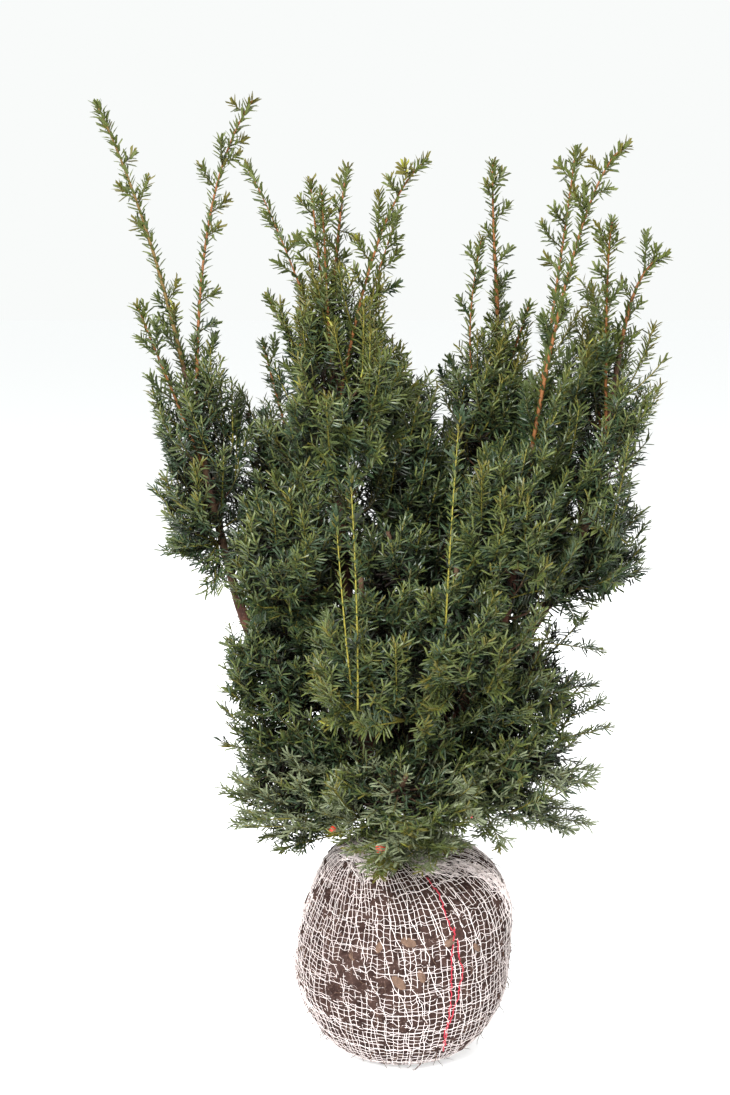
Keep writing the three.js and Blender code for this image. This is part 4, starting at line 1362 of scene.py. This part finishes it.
    def _side_shoots(self, branch: Limb) -> Shoots:
        """Shoots to both sides of a branch and from its upper side, longer the nearer they are to its foot.

        Each leaves at an angle and bends towards the branch's own way and up.
        """
        random, bare = self.random, SHOOT_BARE
        count = max(2, int((1 - bare) * branch.length / SHOOT_STEP))
        share = bare + (1 - bare) * (np.arange(count) + random.random(count) * SHOOT_JITTER) / count
        starts, headings = branch.walk(share), branch.heading(share)
        outward = unit((starts - CROWN_CENTRE) * LEVEL)
        side, lift = across(headings, lift_of(headings, outward))
        high = starts[:, 2] > SKIRT_TOP
        upright = random.random(count) < np.where(high, *UPRIGHT_SHARE)
        rolls = random.normal(*UPRIGHT_ROLL, count), random.normal(*FLAT_ROLL, count)
        roll = np.where(upright, *rolls)[:, None]
        turn = np.where(np.arange(count) % 2, 1, -1)[:, None]
        out = side * turn * np.cos(roll) + lift * np.sin(roll)
        angle = random.normal(SHOOT_ANGLE, SHOOT_STRAY, (count, 1))
        rise = np.where(high, *SHOOT_RISE)[:, None]
        way = unit(headings * np.cos(angle) + out * np.sin(angle) + UP * rise)
        long = SHOOT_LEAST + SHOOT_SHARE * (1 - share) * branch.length
        long = long * random.uniform(*SHOOT_SPREAD, count)
        size = np.where(upright, random.uniform(*UPRIGHT_SIZE, count), np.minimum(long, SHOOT_MOST))[:, None]
        ends = starts + unit(way + headings * SHOOT_ONWARD + UP * rise * SHOOT_UPWARD) * size
        return Shoots(starts, starts + way * size / 2, ends, lift)

    def _forks(self, shoots: Shoots, shares: Sequence[float], roll: float) -> Shoots:
        """Short shoots from one side and the other of longer ones in turn, shorter the nearer the tip.

        Args:
            shoots: The longer ones.
            shares: How far along them they stand.
            roll: How far they stray from the longer shoot's flat, in radians.
        """
        random = self.random
        whole, less = FORK_TAPER
        parts = []
        for number, share in enumerate(shares):
            t = share + random.uniform(-FORK_JITTER, FORK_JITTER, (len(shoots), 1))
            starts, headings = shoots.at(t)[:, 0], shoots.heading(t)[:, 0]
            side, lift = across(headings, shoots.lifts)
            turn = random.normal(FORK_LIFT, roll, (len(shoots), 1))
            out = side * (1 if number % 2 else -1) * np.cos(turn) + lift * np.sin(turn)
            way = unit(headings + FORK_OUT * out)
            size = random.uniform(*FORK_SIZE, (len(shoots), 1)) * (whole - less * share)
            ends = starts + unit(way + FORK_ONWARD * headings + FORK_UPWARD * UP) * size
            parts.append(Shoots(starts, starts + way * size / 2, ends, lift))
        return Shoots.joined(parts)

    def _fitted(self, shoots: Shoots, reach: float, wood: Crowd) -> Shoots:
        """The shoots that stay in the crown and clear of the wood, some of them drawn in to do so."""
        parts = []
        for share in DRAWN_IN:
            tried = shoots.shorter(share)
            fits = self._fits(tried, reach, wood)
            parts.append(tried.kept(fits))
            shoots = shoots.kept(~fits)
        return Shoots.joined(parts)

    def _shell(self, points: np.ndarray) -> np.ndarray:
        """How far out each point is in the mass that it is deepest in: 0 at its middle, 1 at its surface."""
        return np.linalg.norm((points[..., None, :] - self.centres) / self.radii, axis=-1).min(axis=-1)

    def _core(self, points: np.ndarray) -> np.ndarray:
        """How near each point is to the crown's heart: 1 there, and less by the square of the way out."""
        return np.exp(-np.sum(((points - CORE) / CORE_SIZE) ** 2, axis=-1))

    def _hollow(self, points: np.ndarray) -> np.ndarray:
        """Whether each point is in one of the crown's hollows."""
        out = np.linalg.norm((points[..., None, :] - HOLLOWS[:, 0]) / HOLLOWS[:, 1], axis=-1)
        return (out < 1).any(axis=-1)

    def _clear(self, shoots: Shoots, wood: Crowd) -> np.ndarray:
        """Which shoots are clear of the wood half way along and at the tip."""
        points = shoots.at(np.array([0.5, 1.0])).reshape(-1, 3)
        return (wood.clear(points).reshape(-1, 2) > CLEARANCE).all(axis=1)

    def _fits(self, shoots: Shoots, reach: float, wood: Crowd) -> np.ndarray:
        """Which shoots stay in the spaces of the masses and clear of the wood."""
        if not len(shoots):
            return np.zeros(0, bool)
        tips = shoots.ends
        shell = self._shell(tips)
        edge = reach * (1 + CLUMP_DEPTH * self.grain.at(tips, CLUMP))
        edge = edge * self.random.uniform(*RAGGED, len(tips)) + CORE_REACH * self._core(tips)
        gap = (self.grain.at(tips + GAP_SHIFT, GAP) < GAP_LEVEL) & (shell > GAP_SHELL)
        return (shell < edge) & ~gap & ~self._hollow(tips) & self._clear(shoots, wood)

    def _leader(self, leader: Limb, bare: float, look: LeaderLook) -> None:
        """Needles all round a long upright shoot, its own side shoots, and short ones between them.

        Args:
            leader: The shoot.
            bare: The part of it that carries nothing.
            look: What is its own.
        """
        random = self.random
        end = look.shown - LEADER_END / leader.length
        along = along_limb(leader, bare, end)
        rungs = np.linspace(*look.levels, len(along) + 1)
        habit = YOUNG_NEEDLES if look.course else LEADER_NEEDLES
        self._needle(along, habit, np.stack([rungs[:-1], rungs[1:]], -1))
        parts = [self._tuft(leader, end)]
        if look.spurs:
            share, right, up = np.array(look.spurs).T
            starts = leader.walk(share)
            lean = np.stack([right, random.normal(0, SPUR_STRAY, len(share)), up], -1)
            parts.append(Shoots(starts, starts + lean * SPUR_BEND, starts + lean, np.roll(lean, 1, axis=1)))
        count = int((end - bare) * leader.length / look.bud_step)
        if count:
            share = bare + (end - bare) * (np.arange(count) + random.random(count)) / count
            starts, headings = leader.walk(share), leader.heading(share)
            side, lift = across(headings, np.broadcast_to([0.0, 1.0, 0.0], headings.shape))
            turn = (np.arange(count) * GOLDEN_ANGLE + random.random())[:, None]
            way = unit(headings + BUD_OUT * (side * np.cos(turn) + lift * np.sin(turn)))
            low = (1 - np.interp(starts[:, 2], BUSHY_TOP, (0, 1))) * look.bushy
            low *= random.random(count) < BUSHY_SHARE
            size = (random.uniform(*BUD_SIZE, count) + low * random.uniform(*BUSHY_SIZE, count))[:, None]
            ends = starts + unit(way + BUD_ONWARD * headings) * size
            buds = Shoots(starts, starts + way * size / 2, ends, lift)
            parts.append(buds.kept(~self._hollow(buds.ends) & ((low > 0) | (not look.spurs))))
        shoots = Shoots.joined(parts)
        self.growth.add_wood(GREEN_TWIG, shoots.wood(SPUR_WOOD))
        level = np.interp(shoots.ends[:, 2], LEVEL_HEIGHTS, LEVELS)
        level += random.normal(0, SPUR_SPREAD, len(shoots))
        self._needle(shoots, SPUR_NEEDLES, np.stack([level + rung for rung in SPUR_RUNGS], -1))

    def _tuft(self, leader: Limb, end: float) -> Shoots:
        """The crowded last stretch of a leader."""
        shares = np.array([end - LEADER_TUFT / leader.length, end, end + LEADER_END / leader.length])
        a, b, c = leader.walk(shares)
        return Shoots(a[None], b[None], c[None], UP[None])

    def _needle(self, shoots: Shoots, habit: Habit, levels: np.ndarray) -> None:
        """Sets needles along shoots.

        In ranks they lie to both sides, a little raised. All round, each stands a golden angle on from the
        last. They are shorter at the shoot's foot and tip, and lean forward the more the nearer the tip.

        Args:
            shoots: The shoots.
            habit: How the needles stand.
            levels: For each shoot, the rung of the ladder of tints at its foot and at its tip.
        """
        random, first = self.random, habit.first
        count = np.maximum(FEWEST, (shoots.lengths * (1 - first) / habit.step).astype(int))
        number = np.arange(count.max())
        t = first + (1 - first) * np.minimum((number + 0.5) / count[:, None], 1) ** (1 - habit.crowd)
        real = number < count[:, None]
        roots, along, place = shoots.at(t)[real], shoots.heading(t)[real], t[real]
        total = len(place)
        number = np.broadcast_to(number, real.shape)[real]
        lifts = np.broadcast_to(shoots.lifts[:, None], (*real.shape, 3))[real]
        side, lift = across(along, lifts)
        steep = fade(np.abs(along[:, 2]), STEEP_SPAN)
        ranked = random.random(total) < habit.ranked * (1 - steep)
        odd = number % 2
        flat = np.where(odd, 0.0, math.pi) + np.where(odd, 1, -1) * random.normal(*RANK, total)
        turn = np.where(ranked, flat, number * GOLDEN_ANGLE + random.normal(0, ROUND_STRAY, total))[:, None]
        out = side * np.cos(turn) + lift * np.sin(turn)
        lean = habit.open * (LEAN - LEAN_LESS * fade(place, LEAN_SPAN))
        lean = (lean + random.normal(0, LEAN_STRAY, total))[:, None]
        headings = unit(along * np.cos(lean) + out * np.sin(lean))
        uppers = np.where(ranked[:, None], lift, unit(along - headings * LOOK_BACK))
        uppers = unit(uppers + random.normal(0, TWIST, uppers.shape))
        grown = AT_FOOT + GAIN * fade(place, GAIN_SPAN) - LOSS * fade(place, LOSS_SPAN)
        sizes = habit.length * grown * random.uniform(*NEEDLE_SIZES, total)
        low, high = (np.broadcast_to(levels[:, i, None], real.shape)[real] for i in (0, 1))
        rung = low + (high - low) * place**2 + random.normal(0, RUNG_STRAY, total)
        order = np.array([list(Tint).index(tint) for tint in (*self.LADDER, Tint.GREY)])
        rung = np.where(low < 0, len(self.LADDER), np.clip(rung, 0, len(self.LADDER) - 1)).astype(int)
        needles = Needles(roots, headings, uppers, sizes, np.full(total, habit.broad))
        self.growth.add_needles(order[rung], needles)

    def _levels(self, shoots: Shoots) -> np.ndarray:
        """The rungs of the ladder of tints for shoots, by their height and how far out they are.

        Deep in a mass and in the crown's heart the rungs are lower, as painted shade. Some low shoots away
        from the deepest painted shade are dull instead, for which the rung is -1.
        """
        tip, core, random = shoots.ends, self._core(shoots.ends), self.random
        shell = fade(self._shell(tip), INWARD_SPAN)
        # Painted shade deep inside a mass, with the browner older needles there: lower rungs further in.
        level = np.interp(tip[:, 2], LEVEL_HEIGHTS, LEVELS) - INWARD_SHADE * (1 - shell)
        level += random.normal(0, LEVEL_SPREAD, len(tip))
        level += FRONT_GAIN * np.interp(-tip[:, 1], [-face for face in FRONT_FACE], (0, 1))
        # Painted shade in the crown's heart.
        level = np.clip(level - CORE_SHADE * core, 0.0, TOP_LEVEL)
        # Only shoots out of the deepest painted shade may be dull.
        lit = (shell > DULL_SHELL) & (core < DULL_CORE)
        dull = (tip[:, 2] < SKIRT_TOP) & lit & (random.random(len(tip)) < DULL_SHARE)
        return np.where(dull[:, None], -1.0, np.stack([level, level + TIP_RISE], -1))


# ---- Trunk and boughs ----

# Each bough's radius at foot and tip, and the four points of its curve.
BOUGHS = {
    "bough_left": ((9, 6), (-30, -2, 318), (-92, -10, 380), (-170, -2, 455), (-206, 8, 592)),
    "bough_centre": ((11, 6), (-25, 2, 322), (-56, -18, 430), (-66, -30, 560), (-80, -20, 728)),
    "bough_middle": ((8.5, 5.5), (-24, 4, 316), (22, 5, 400), (62, 14, 540), (100, 40, 690)),
    "bough_right": ((9, 6), (-20, 3, 306), (62, 10, 390), (140, 4, 500), (198, -6, 612)),
    "bough_front": ((8, 5.5), (-22, -4, 312), (42, -40, 390), (115, -62, 500), (128, -64, 620)),
    "bough_back_left": ((8.5, 5.5), (-28, 8, 310), (-50, 60, 390), (-80, 90, 450), (-100, 112, 540)),
    "bough_back_right": ((8.5, 5.5), (-22, 8, 304), (22, 60, 390), (76, 95, 450), (98, 114, 545)),
}
LIMBS = (
    Trunk(np.array([(-24, 3, 258.3), (-24, 3, 285), (-25, 1, 310), (-26, 0, 340)]), (23, 14), name="trunk"),
    *(Limb(np.array(points), radii, name=name) for name, (radii, *points) in BOUGHS.items()),
)


@dataclass
class Bark:
    """The trunk and boughs in flaking bark."""

    limbs: Sequence[Limb]
    sides: int = 24
    step: float = 4.0
    girth: float = 8.0
    drawn: float = 0.35
    relief: tuple[tuple[float, float, float], ...] = ((0.07, 9.0, 0.0), (0.06, 3.2, 0.0))
    grain: Grain = field(default_factory=lambda: Grain(11))

    def _limb(self, limb: Limb) -> Surface:
        """One limb, whose surface stands out from the taper by the noise times the radius."""
        rings = int(limb.length / self.step)
        shares = np.linspace(0, 1, rings)
        path = limb.walk(shares)
        surface = tubes(path[None], limb.radius_at(shares)[None], self.sides)
        walls = surface.points[: rings * self.sides].reshape(rings, self.sides, 3)
        out = walls - path[:, None]
        radius = np.linalg.norm(out, axis=-1)
        angle = np.arange(self.sides) * 2 * math.pi / self.sides
        place = stacked(
            np.cos(angle) * self.girth + limb.points[0, 0],
            np.sin(angle) * self.girth + limb.points[-1, 0],
            (shares * limb.length)[:, None] * self.drawn,
        )
        walls += out * self.grain.layered(place, self.relief)[..., None]
        log.info("%s: radius %.1f to %.1f", limb.name, radius[0].mean(), radius[-1].mean())
        return surface

    def build(self) -> bpy.types.Object:
        """Makes the piece."""
        surface = Surface.joined(self._limb(limb) for limb in self.limbs)
        piece = surface.piece("trunk_and_boughs", BARK, rounded=True)
        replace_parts(piece, *(limb.name for limb in self.limbs))
        return piece


# ---- The root ball ----


def direction(turn: np.ndarray, polar: np.ndarray) -> np.ndarray:
    """The unit directions at these angles round the upright and down from it."""
    return stacked(np.sin(polar) * np.cos(turn), np.sin(polar) * np.sin(turn), np.cos(polar))


@dataclass
class BallShape:
    """The root ball's surface, by the direction from its middle. Foot and collar are its flat ends' radii."""

    radius: float = 136.0
    height: float = 258.0
    belly: float = 0.48
    foot: float = 52.0
    collar: float = 52.0
    shoulder: float = 0.8
    lean: float = 9.0
    rise: float = 3.5
    bumps: tuple[tuple[float, float, float], ...] = ((3.0, 62.0, 0.0), (1.8, 24.0, 40.0))
    rest: float = 0.4
    grain: Grain = field(default_factory=lambda: Grain(23))

    def __post_init__(self) -> None:
        """Draws the outline from the flat foot up to the flat collar: two quarter ellipses."""
        self.middle = self.belly * self.height
        turn, flat = np.linspace(0, math.pi / 2, 40), np.linspace(0, 1, 8)
        low = self.foot + (self.radius - self.foot) * np.sin(turn)
        low_z = self.middle * (1 - np.cos(turn))
        fall = np.maximum(np.cos(turn), 0) ** self.shoulder
        high = self.collar + (self.radius - self.collar) * fall
        high_z = self.middle + (self.height - self.middle) * np.sin(turn)
        radius = np.concatenate([flat[:-1] * self.foot, low, high[1:], (1 - flat[1:]) * self.collar])
        ends = np.zeros(len(flat) - 1), np.full(len(flat) - 1, self.height)
        height = np.concatenate([ends[0], low_z, high_z[1:], ends[1]])
        self.polar = np.arctan2(radius, height - self.middle)[::-1]
        self.reach = np.hypot(radius, height - self.middle)[::-1]

    def at(self, way: np.ndarray, lift: np.ndarray | float = 0.0) -> np.ndarray:
        """The surface in each direction.

        It bulges in and out by noise, which dies away towards foot and collar, and leans as it rises.

        Args:
            way: Unit directions from the ball's middle.
            lift: How far outside the surface.

        Returns:
            The points.
        """
        polar = np.arccos(np.clip(way[..., 2], -1, 1))
        reach = np.interp(polar, self.polar, self.reach)
        wide = np.sin(math.pi * np.clip((self.middle + reach * way[..., 2]) / self.height, 0, 1))
        bumps = self.grain.layered(way * self.radius, self.bumps)
        point = way * (reach + bumps * wide + lift)[..., None]
        point[..., 2] = np.maximum(point[..., 2] + self.middle, np.minimum(lift, self.rest))
        rise = np.clip(point[..., 2] / self.height, 0, 1)
        point[..., 0] += self.lean * np.sin(math.pi * rise**self.rise)
        return point


class RootBall:
    """The soil, the net round it, and what shows through the net.

    The net is gathered at one place, the soil bulges through it at another, and paths run through places in
    degrees, round the ball and down from its top.
    """

    SEED = 31
    GATHER = unit(np.array([-0.16, -0.1, 0.98]))
    BARE_PATCH = unit(np.array([-63.0, -116.0, 11.0]))
    CLODS = ((1.3, 13.0, 0.0), (1.5, 5.5, 9.0), (1.3, 3.0, 5.0))
    THREADS, ROWS = 102, 54
    ROOTS = 420
    RED_PATHS = (
        ((-73, 34), (-70, 43), (-70, 49), (-69, 55), (-65, 63), (-64, 71), (-60, 80), (-62, 88), (-62, 94),
         (-68, 112), (-65, 126)),
        ((-66, 58), (-68, 69), (-67, 79), (-66, 93), (-67, 110), (-65, 126)),
    )
    HEMS = (
        ((-200, 21), (-165, 22), (-138, 25), (-118, 30), (-112, 33)),
        ((-76, 30), (-52, 31), (-32, 36), (-20, 46), (-14, 60)),
    )
    SCRAPS = (
        (-91, 63, 20), (-106, 66, 15), (-94, 82, 22), (-83, 79, 17), (-69, 64, 18), (-120, 72, 14),
        (-52, 70, 14),
    )

    def __init__(self) -> None:
        """Draws the ball's shape."""
        self.shape = BallShape()
        self.random = np.random.default_rng(self.SEED)

    def soil(self) -> bpy.types.Object:
        """The soil: rings from pole to pole, with clods as fine noise."""
        rows, columns, sunk = 150, 300, 0.9
        polar = np.linspace(0, math.pi, rows + 2)[1:-1, None]
        way = direction(np.linspace(0, 2 * math.pi, columns, endpoint=False), polar)
        place, grain = way * self.shape.radius, self.shape.grain
        near = way @ self.BARE_PATCH + 0.03 * grain.at(place, 17.0) + 0.02 * grain.at(place, 6.0)
        clods = grain.layered(place, self.CLODS) + 1.5 * fade(near, (0.9, 0.12))
        above_foot = smooth((math.pi - 0.45 - polar) / 0.2)
        points = self.shape.at(way, (clods + sunk) * above_foot - sunk - 0.25).reshape(-1, 3)
        poles = np.array([[0, 0, self.shape.height - 0.8], [0, 0, 0.0]])
        surface = Surface(np.concatenate([points, poles]), pole_faces(rows, columns))
        piece = surface.piece("root_ball_soil", SOIL, rounded=True)
        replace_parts(piece, "root_ball")
        return piece

    def _way(self, turn: np.ndarray, s: np.ndarray) -> np.ndarray:
        """The direction of a place on a net that is gathered at a point.

        It runs along a quadratic curve from the gathering point, out over the belly and down to the foot.

        Args:
            turn: The angle round the ball.
            s: The way down, from 0 to 1.
        """
        out = stacked(np.cos(turn), np.sin(turn), np.zeros(1))
        s = s[..., None]
        return unit((1 - s) ** 2 * self.GATHER + 2 * s * (1 - s) * 1.5 * out - s * s * UP)

    def _sway(self, thread: np.ndarray, s: np.ndarray, shift: float) -> np.ndarray:
        """How far a thread strays from its place, by noise that changes slowly from thread to thread."""
        place = stacked(thread * 2.0, s * 110, np.full(1, shift))
        return 0.7 * self.shape.grain.at(place, 15.0) + 0.2 * self.shape.grain.at(place * 3, 11.0)

    def _lengthwise(self, threads: int, shift: float, skew: float, lift: float, width: float) -> Surface:
        """Threads from the gathering point to the foot.

        Args:
            threads: How many.
            shift: Which part of the noise they stray by.
            skew: How far round they turn on their way down.
            lift: How far outside the ball they lie.
            width: Their radius.
        """
        s = np.linspace(0.05, 0.985, 2 * self.ROWS)[None]
        thread = np.arange(threads)[:, None] + self.random.normal(0, 0.12, (threads, 1))
        turn = (thread + self._sway(thread, s, shift)) * 2 * math.pi / threads + skew * s
        turn += self.random.normal(0, 0.003, turn.shape)
        return tubes(self.shape.at(self._way(turn, s), lift), np.full(turn.shape, width), 3)

    def _crosswise(self, rows: int, shift: float, lift: float, width: float) -> Surface:
        """Threads round the ball, which step up and down a little from cell to cell."""
        steps = 2 * self.THREADS + 1
        turn = np.linspace(0, 2 * math.pi, steps)[None]
        row = np.arange(rows)[:, None]
        s = 0.09 + 0.87 * (row + 0.5) / rows
        place = stacked(np.cos(turn) * 60, np.sin(turn) * 60 + shift, row * 7.0)
        stray = 0.010 * self.shape.grain.at(place, 22.0)
        jump = np.repeat(self.random.normal(0, 0.0034, (rows, self.THREADS)), 2, axis=1)
        jump = np.concatenate([jump, jump[:, :1]], axis=1)
        way = self._way(np.broadcast_to(turn, (rows, steps)), s + stray + jump)
        return tubes(self.shape.at(way, lift), np.full((rows, steps), width), 3)

    def net(self) -> bpy.types.Object:
        """The net: lengthwise and crosswise threads, a looser layer over them, and its crumpled hems."""
        layers = [
            self._lengthwise(self.THREADS, 0.0, 0.0, 0.5, 0.35),
            self._crosswise(self.ROWS, 0.0, 0.55, 0.3),
            self._lengthwise(34, 50.0, 0.5, 1.3, 0.4),
            self._crosswise(12, 30.0, 1.5, 0.36),
            *(self._hem(places) for places in self.HEMS),
        ]
        return Surface.joined(layers).piece("net", NET)

    def _trail(self, places: Sequence[tuple[float, float]], rings: int) -> np.ndarray:
        """Directions along a path through places in degrees, round the ball and down from its top."""
        stops = np.linspace(0, 1, len(places))
        share = np.linspace(0, 1, rings)
        return direction(*(np.radians(np.interp(share, stops, column)) for column in zip(*places)))

    def _hem(self, places: Sequence[tuple[float, float]], strands: int = 22, rings: int = 46) -> Surface:
        """A crumpled hem: strands that weave along one path, near the ball and clear of it by turns."""
        random, stray = self.random, 0.045
        knots = random.normal(0, stray, (strands, rings // 3 + 1, 3))
        at = np.linspace(0, knots.shape[1] - 1, rings)
        low = np.minimum(at.astype(int), knots.shape[1] - 2)
        share = (at - low)[:, None]
        wander = knots[:, low] * (1 - share) + knots[:, low + 1] * share
        way = unit(self._trail(places, rings)[None] + (wander + random.normal(0, stray, (strands, 1, 3))))
        clear = 5.0 * random.random((strands, 1))
        lift = 1.5 + clear * np.abs(np.sin(at * 0.9 + random.random((strands, 1)) * 6))
        return tubes(self.shape.at(way, lift), np.full((strands, rings), 0.48), 3)

    def red_threads(self) -> bpy.types.Object:
        """Two red threads, woven in and out of the net, that part below the shoulder and meet low down."""
        rings = 120
        way = np.stack([self._trail(places, rings) for places in self.RED_PATHS])
        way = unit(way + self.random.normal(0, 0.004, way.shape))
        lift = 1.3 + 1.5 * np.sin(np.linspace(0, 90, rings)) + np.zeros((len(way), 1))
        paths = self.shape.at(way, lift)
        return tubes(paths, np.full(lift.shape, 0.75), 5).piece("red_threads", RED_THREAD, rounded=True)

    def scraps(self) -> bpy.types.Object:
        """Old leaves caught under the net: flat eight-sided lenses that lie along the ball."""
        sides, thick, crumpled = 8, 1.1, 1.2
        turn, polar, size = np.array(self.SCRAPS, float).T
        way = direction(np.radians(turn), np.radians(polar))
        side, lift = across(way, np.broadcast_to(UP, way.shape))
        spin = self.random.uniform(0, math.pi, (len(way), 1))
        long = side * np.cos(spin) + lift * np.sin(spin)
        wide = np.cross(way, long)
        angle = np.linspace(0, 2 * math.pi, sides, endpoint=False)
        rim = np.cos(angle)[:, None] * long[:, None] + 0.55 * np.sin(angle)[:, None] * wide[:, None]
        centre = self.shape.at(way, 1.3)[:, None]
        curl = self.random.uniform(-crumpled, crumpled, (len(way), sides, 1)) * way[:, None]
        rim = centre + rim * size[:, None, None] / 2 + curl
        points = np.concatenate([rim, centre + thick * way[:, None], centre - thick * way[:, None]], 1)
        ring, top, foot = np.arange(sides), np.full(sides, sides), np.full(sides, sides + 1)
        after = (ring + 1) % sides
        one = np.concatenate([np.stack([ring, after, top], 1), np.stack([after, ring, foot], 1)])
        faces = one[None] + (sides + 2) * np.arange(len(way))[:, None, None]
        return Surface(points.reshape(-1, 3), faces.reshape(-1, 3)).piece("leaf_scraps", DEAD_LEAF)

    def roots(self) -> bpy.types.Object:
        """Fine roots that stick out through the net: each runs outward, then strays and falls."""
        random, count, rings = self.random, self.ROOTS, 7
        along = np.linspace(0, 1, rings)[:, None]
        turn = random.uniform(0, 2 * math.pi, count)
        way = direction(turn, np.arccos(random.uniform(-0.88, 0.75, count)))
        reach = random.uniform(4, 15, (count, 1, 1)) * along
        side = unit(np.cross(way, random.normal(0, 1, way.shape)))[:, None]
        fall = -UP * along**2 * random.uniform(0, 8, (count, 1, 1))
        stray = np.cumsum(random.normal(0, 0.9, (count, rings, 3)), axis=1)
        outward = way[:, None] * (reach * 0.55 - 1)
        paths = self.shape.at(way, 0.0)[:, None] + outward + side * reach + fall + stray
        paths[..., 2] = np.maximum(paths[..., 2], 0.6)
        widths = np.broadcast_to(np.linspace(0.6, 0.3, rings), (count, rings))
        return tubes(paths, widths, 3).piece("fine_roots", ROOT, rounded=True)

    def build(self) -> None:
        """Makes the pieces."""
        self.soil()
        self.net()
        self.red_threads()
        self.scraps()
        self.roots()


class Fruit:
    """The arils: red cups, each with a seed in its open lower end, hung close under a spray's tip."""

    PLACES = ((-84.0, -80.0, 311.0), (-28.0, -154.0, 316.0), (78.0, -106.0, 338.0))
    RADII = (4.6, 6.0, 3.4)
    SIDES = 14

    def _turned(self, profile: np.ndarray) -> Surface:
        """A profile of (radius, height) pairs, turned once round at each place and scaled by its radius."""
        turn = np.linspace(0, 2 * math.pi, self.SIDES, endpoint=False)
        radius, height = profile[:, :1], profile[:, 1:]
        one = stacked(radius * np.cos(turn), radius * np.sin(turn), height)
        ends = np.array([[0, 0, profile[0, 1]], [0, 0, profile[-1, 1]]])
        one = np.concatenate([one.reshape(-1, 3), ends])
        faces = pole_faces(len(profile), self.SIDES)
        parts = (Surface(np.array(place) + one * size, faces) for place, size in zip(self.PLACES, self.RADII))
        return Surface.joined(parts)

    def build(self) -> None:
        """Makes the cups and the seeds: ellipses turned round, the cup's lower end pushed in."""
        down = np.linspace(0.12, 2.35, 9)
        cup = np.stack([np.sin(down), 1.05 * np.cos(down)], -1)
        hollow = np.array([[0.5, -0.78], [0.46, -0.4]])
        self._turned(np.concatenate([cup, hollow])).piece("arils", ARIL, rounded=True)
        down = np.linspace(0.2, math.pi - 0.2, 6)
        seed = np.stack([0.4 * np.sin(down), 0.5 * np.cos(down) - 0.3], -1)
        self._turned(seed).piece("seeds", SEED, rounded=True)


# ---- The studio ----


@dataclass(frozen=True)
class View:
    """The camera's place and aim."""

    place: tuple[float, float, float] = (-0.0457, -1.81, 0.966)
    pitch: float = 10.23
    lens: float = 50.0


def add_camera(view: View) -> None:
    """Sets up the camera, level and without a shift."""
    data = bpy.data.cameras.new("camera")
    data.lens = view.lens
    camera = bpy.data.objects.new("camera", data)
    camera.location = view.place
    camera.rotation_euler = (math.radians(90 - view.pitch), 0, 0)
    bpy.context.scene.collection.objects.link(camera)
    bpy.context.scene.camera = camera


@dataclass(frozen=True)
class Softbox:
    """A large square lamp that looks at the plant."""

    name: str
    place: tuple[float, float, float]
    size: float
    power: float

    def add(self, target: Vector) -> None:
        """Hangs the lamp and turns it to the target."""
        data = bpy.data.lights.new(self.name, "AREA")
        data.size = self.size
        data.energy = self.power
        lamp = bpy.data.objects.new(self.name, data)
        lamp.location = self.place
        lamp.rotation_euler = (target - Vector(self.place)).to_track_quat("-Z", "Y").to_euler()
        bpy.context.scene.collection.objects.link(lamp)


@dataclass(frozen=True)
class Studio:
    """A pale floor and a pale, even room with soft lamps."""

    room: str = "f9fbfa"
    room_light: float = 0.61
    floor: Finish = Finish("pale_floor", "", "f4f5f6", roughness=0.9, gloss=0.1)
    floor_glow: float = 0.45
    far: float = 30.0
    lamps: tuple[Softbox, ...] = (
        Softbox("key", (-1.3, -2.6, 2.8), 1.6, 292.0),
        Softbox("fill", (2.2, -2.2, 1.6), 2.0, 50.0),
        Softbox("back", (0.6, 2.6, 2.4), 2.0, 70.0),
    )
    aim: tuple[float, float, float] = (0.0, 0.0, 0.6)

    def build(self) -> None:
        """Makes the room, the floor and the lamps."""
        world = bpy.data.worlds.new("room")
        world.use_nodes = True
        nodes = Nodes(world.node_tree)
        back = world.node_tree.nodes["Background"]
        back.inputs["Color"].default_value = linear(self.room)
        seen = nodes.add("LightPath").outputs["Is Camera Ray"]
        strength = nodes.add("MapRange", in_Value=seen, in_To_Min=self.room_light, in_To_Max=1.0)
        nodes.join(strength.outputs["Result"], back.inputs["Strength"])
        scene = bpy.context.scene
        scene.world = world
        scene.view_settings.view_transform = "Standard"
        mesh = bpy.data.meshes.new("floor")
        far = self.far
        mesh.from_pydata([(-far, -far, 0), (far, -far, 0), (far, far, 0), (-far, far, 0)], [], [(0, 1, 2, 3)])
        pale, _, shader = self.floor.shader()
        shader.inputs["Emission Color"].default_value = linear(self.room)
        shader.inputs["Emission Strength"].default_value = self.floor_glow
        mesh.materials.append(pale)
        floor = bpy.data.objects.new("floor", mesh)
        scene.collection.objects.link(floor)
        floor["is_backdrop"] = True
        for lamp in self.lamps:
            lamp.add(Vector(self.aim))


# ---- The whole plant ----


def main() -> None:
    """Builds every piece, and finds both boxes."""
    logging.basicConfig(level=logging.INFO, format="%(message)s")
    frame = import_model()
    boxes = {"cad": [list(corner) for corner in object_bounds()]}
    log.info("the frame holds %s", ", ".join(frame))
    nodes = [plan.name for plan in MASSES]
    Bark(LIMBS).build()
    growth = Foliage(LIMBS).grow()
    for tint in Tint:
        batches = growth.needles.get(tint, [])
        sizes = [len(batch) * len(NEEDLE.FACES) for batch in batches]
        for number, part in enumerate(batched(batches, sizes, PIECE_FACES), 1):
            surface = NEEDLE.surface(Needles.joined(part))
            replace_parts(surface.piece(f"{tint.value.name}_{number}", tint.value), *nodes)
    for finish, parts in growth.wood.items():
        for number, part in enumerate(batched(parts, [len(one.faces) for one in parts], PIECE_FACES), 1):
            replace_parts(Surface.joined(part).piece(f"{finish.name}_{number}", finish, rounded=True), *nodes)
    RootBall().build()
    Fruit().build()
    Studio().build()
    add_camera(View())
    boxes["visual"] = [list(corner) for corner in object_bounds()]


if __name__ == "__main__":
    main()
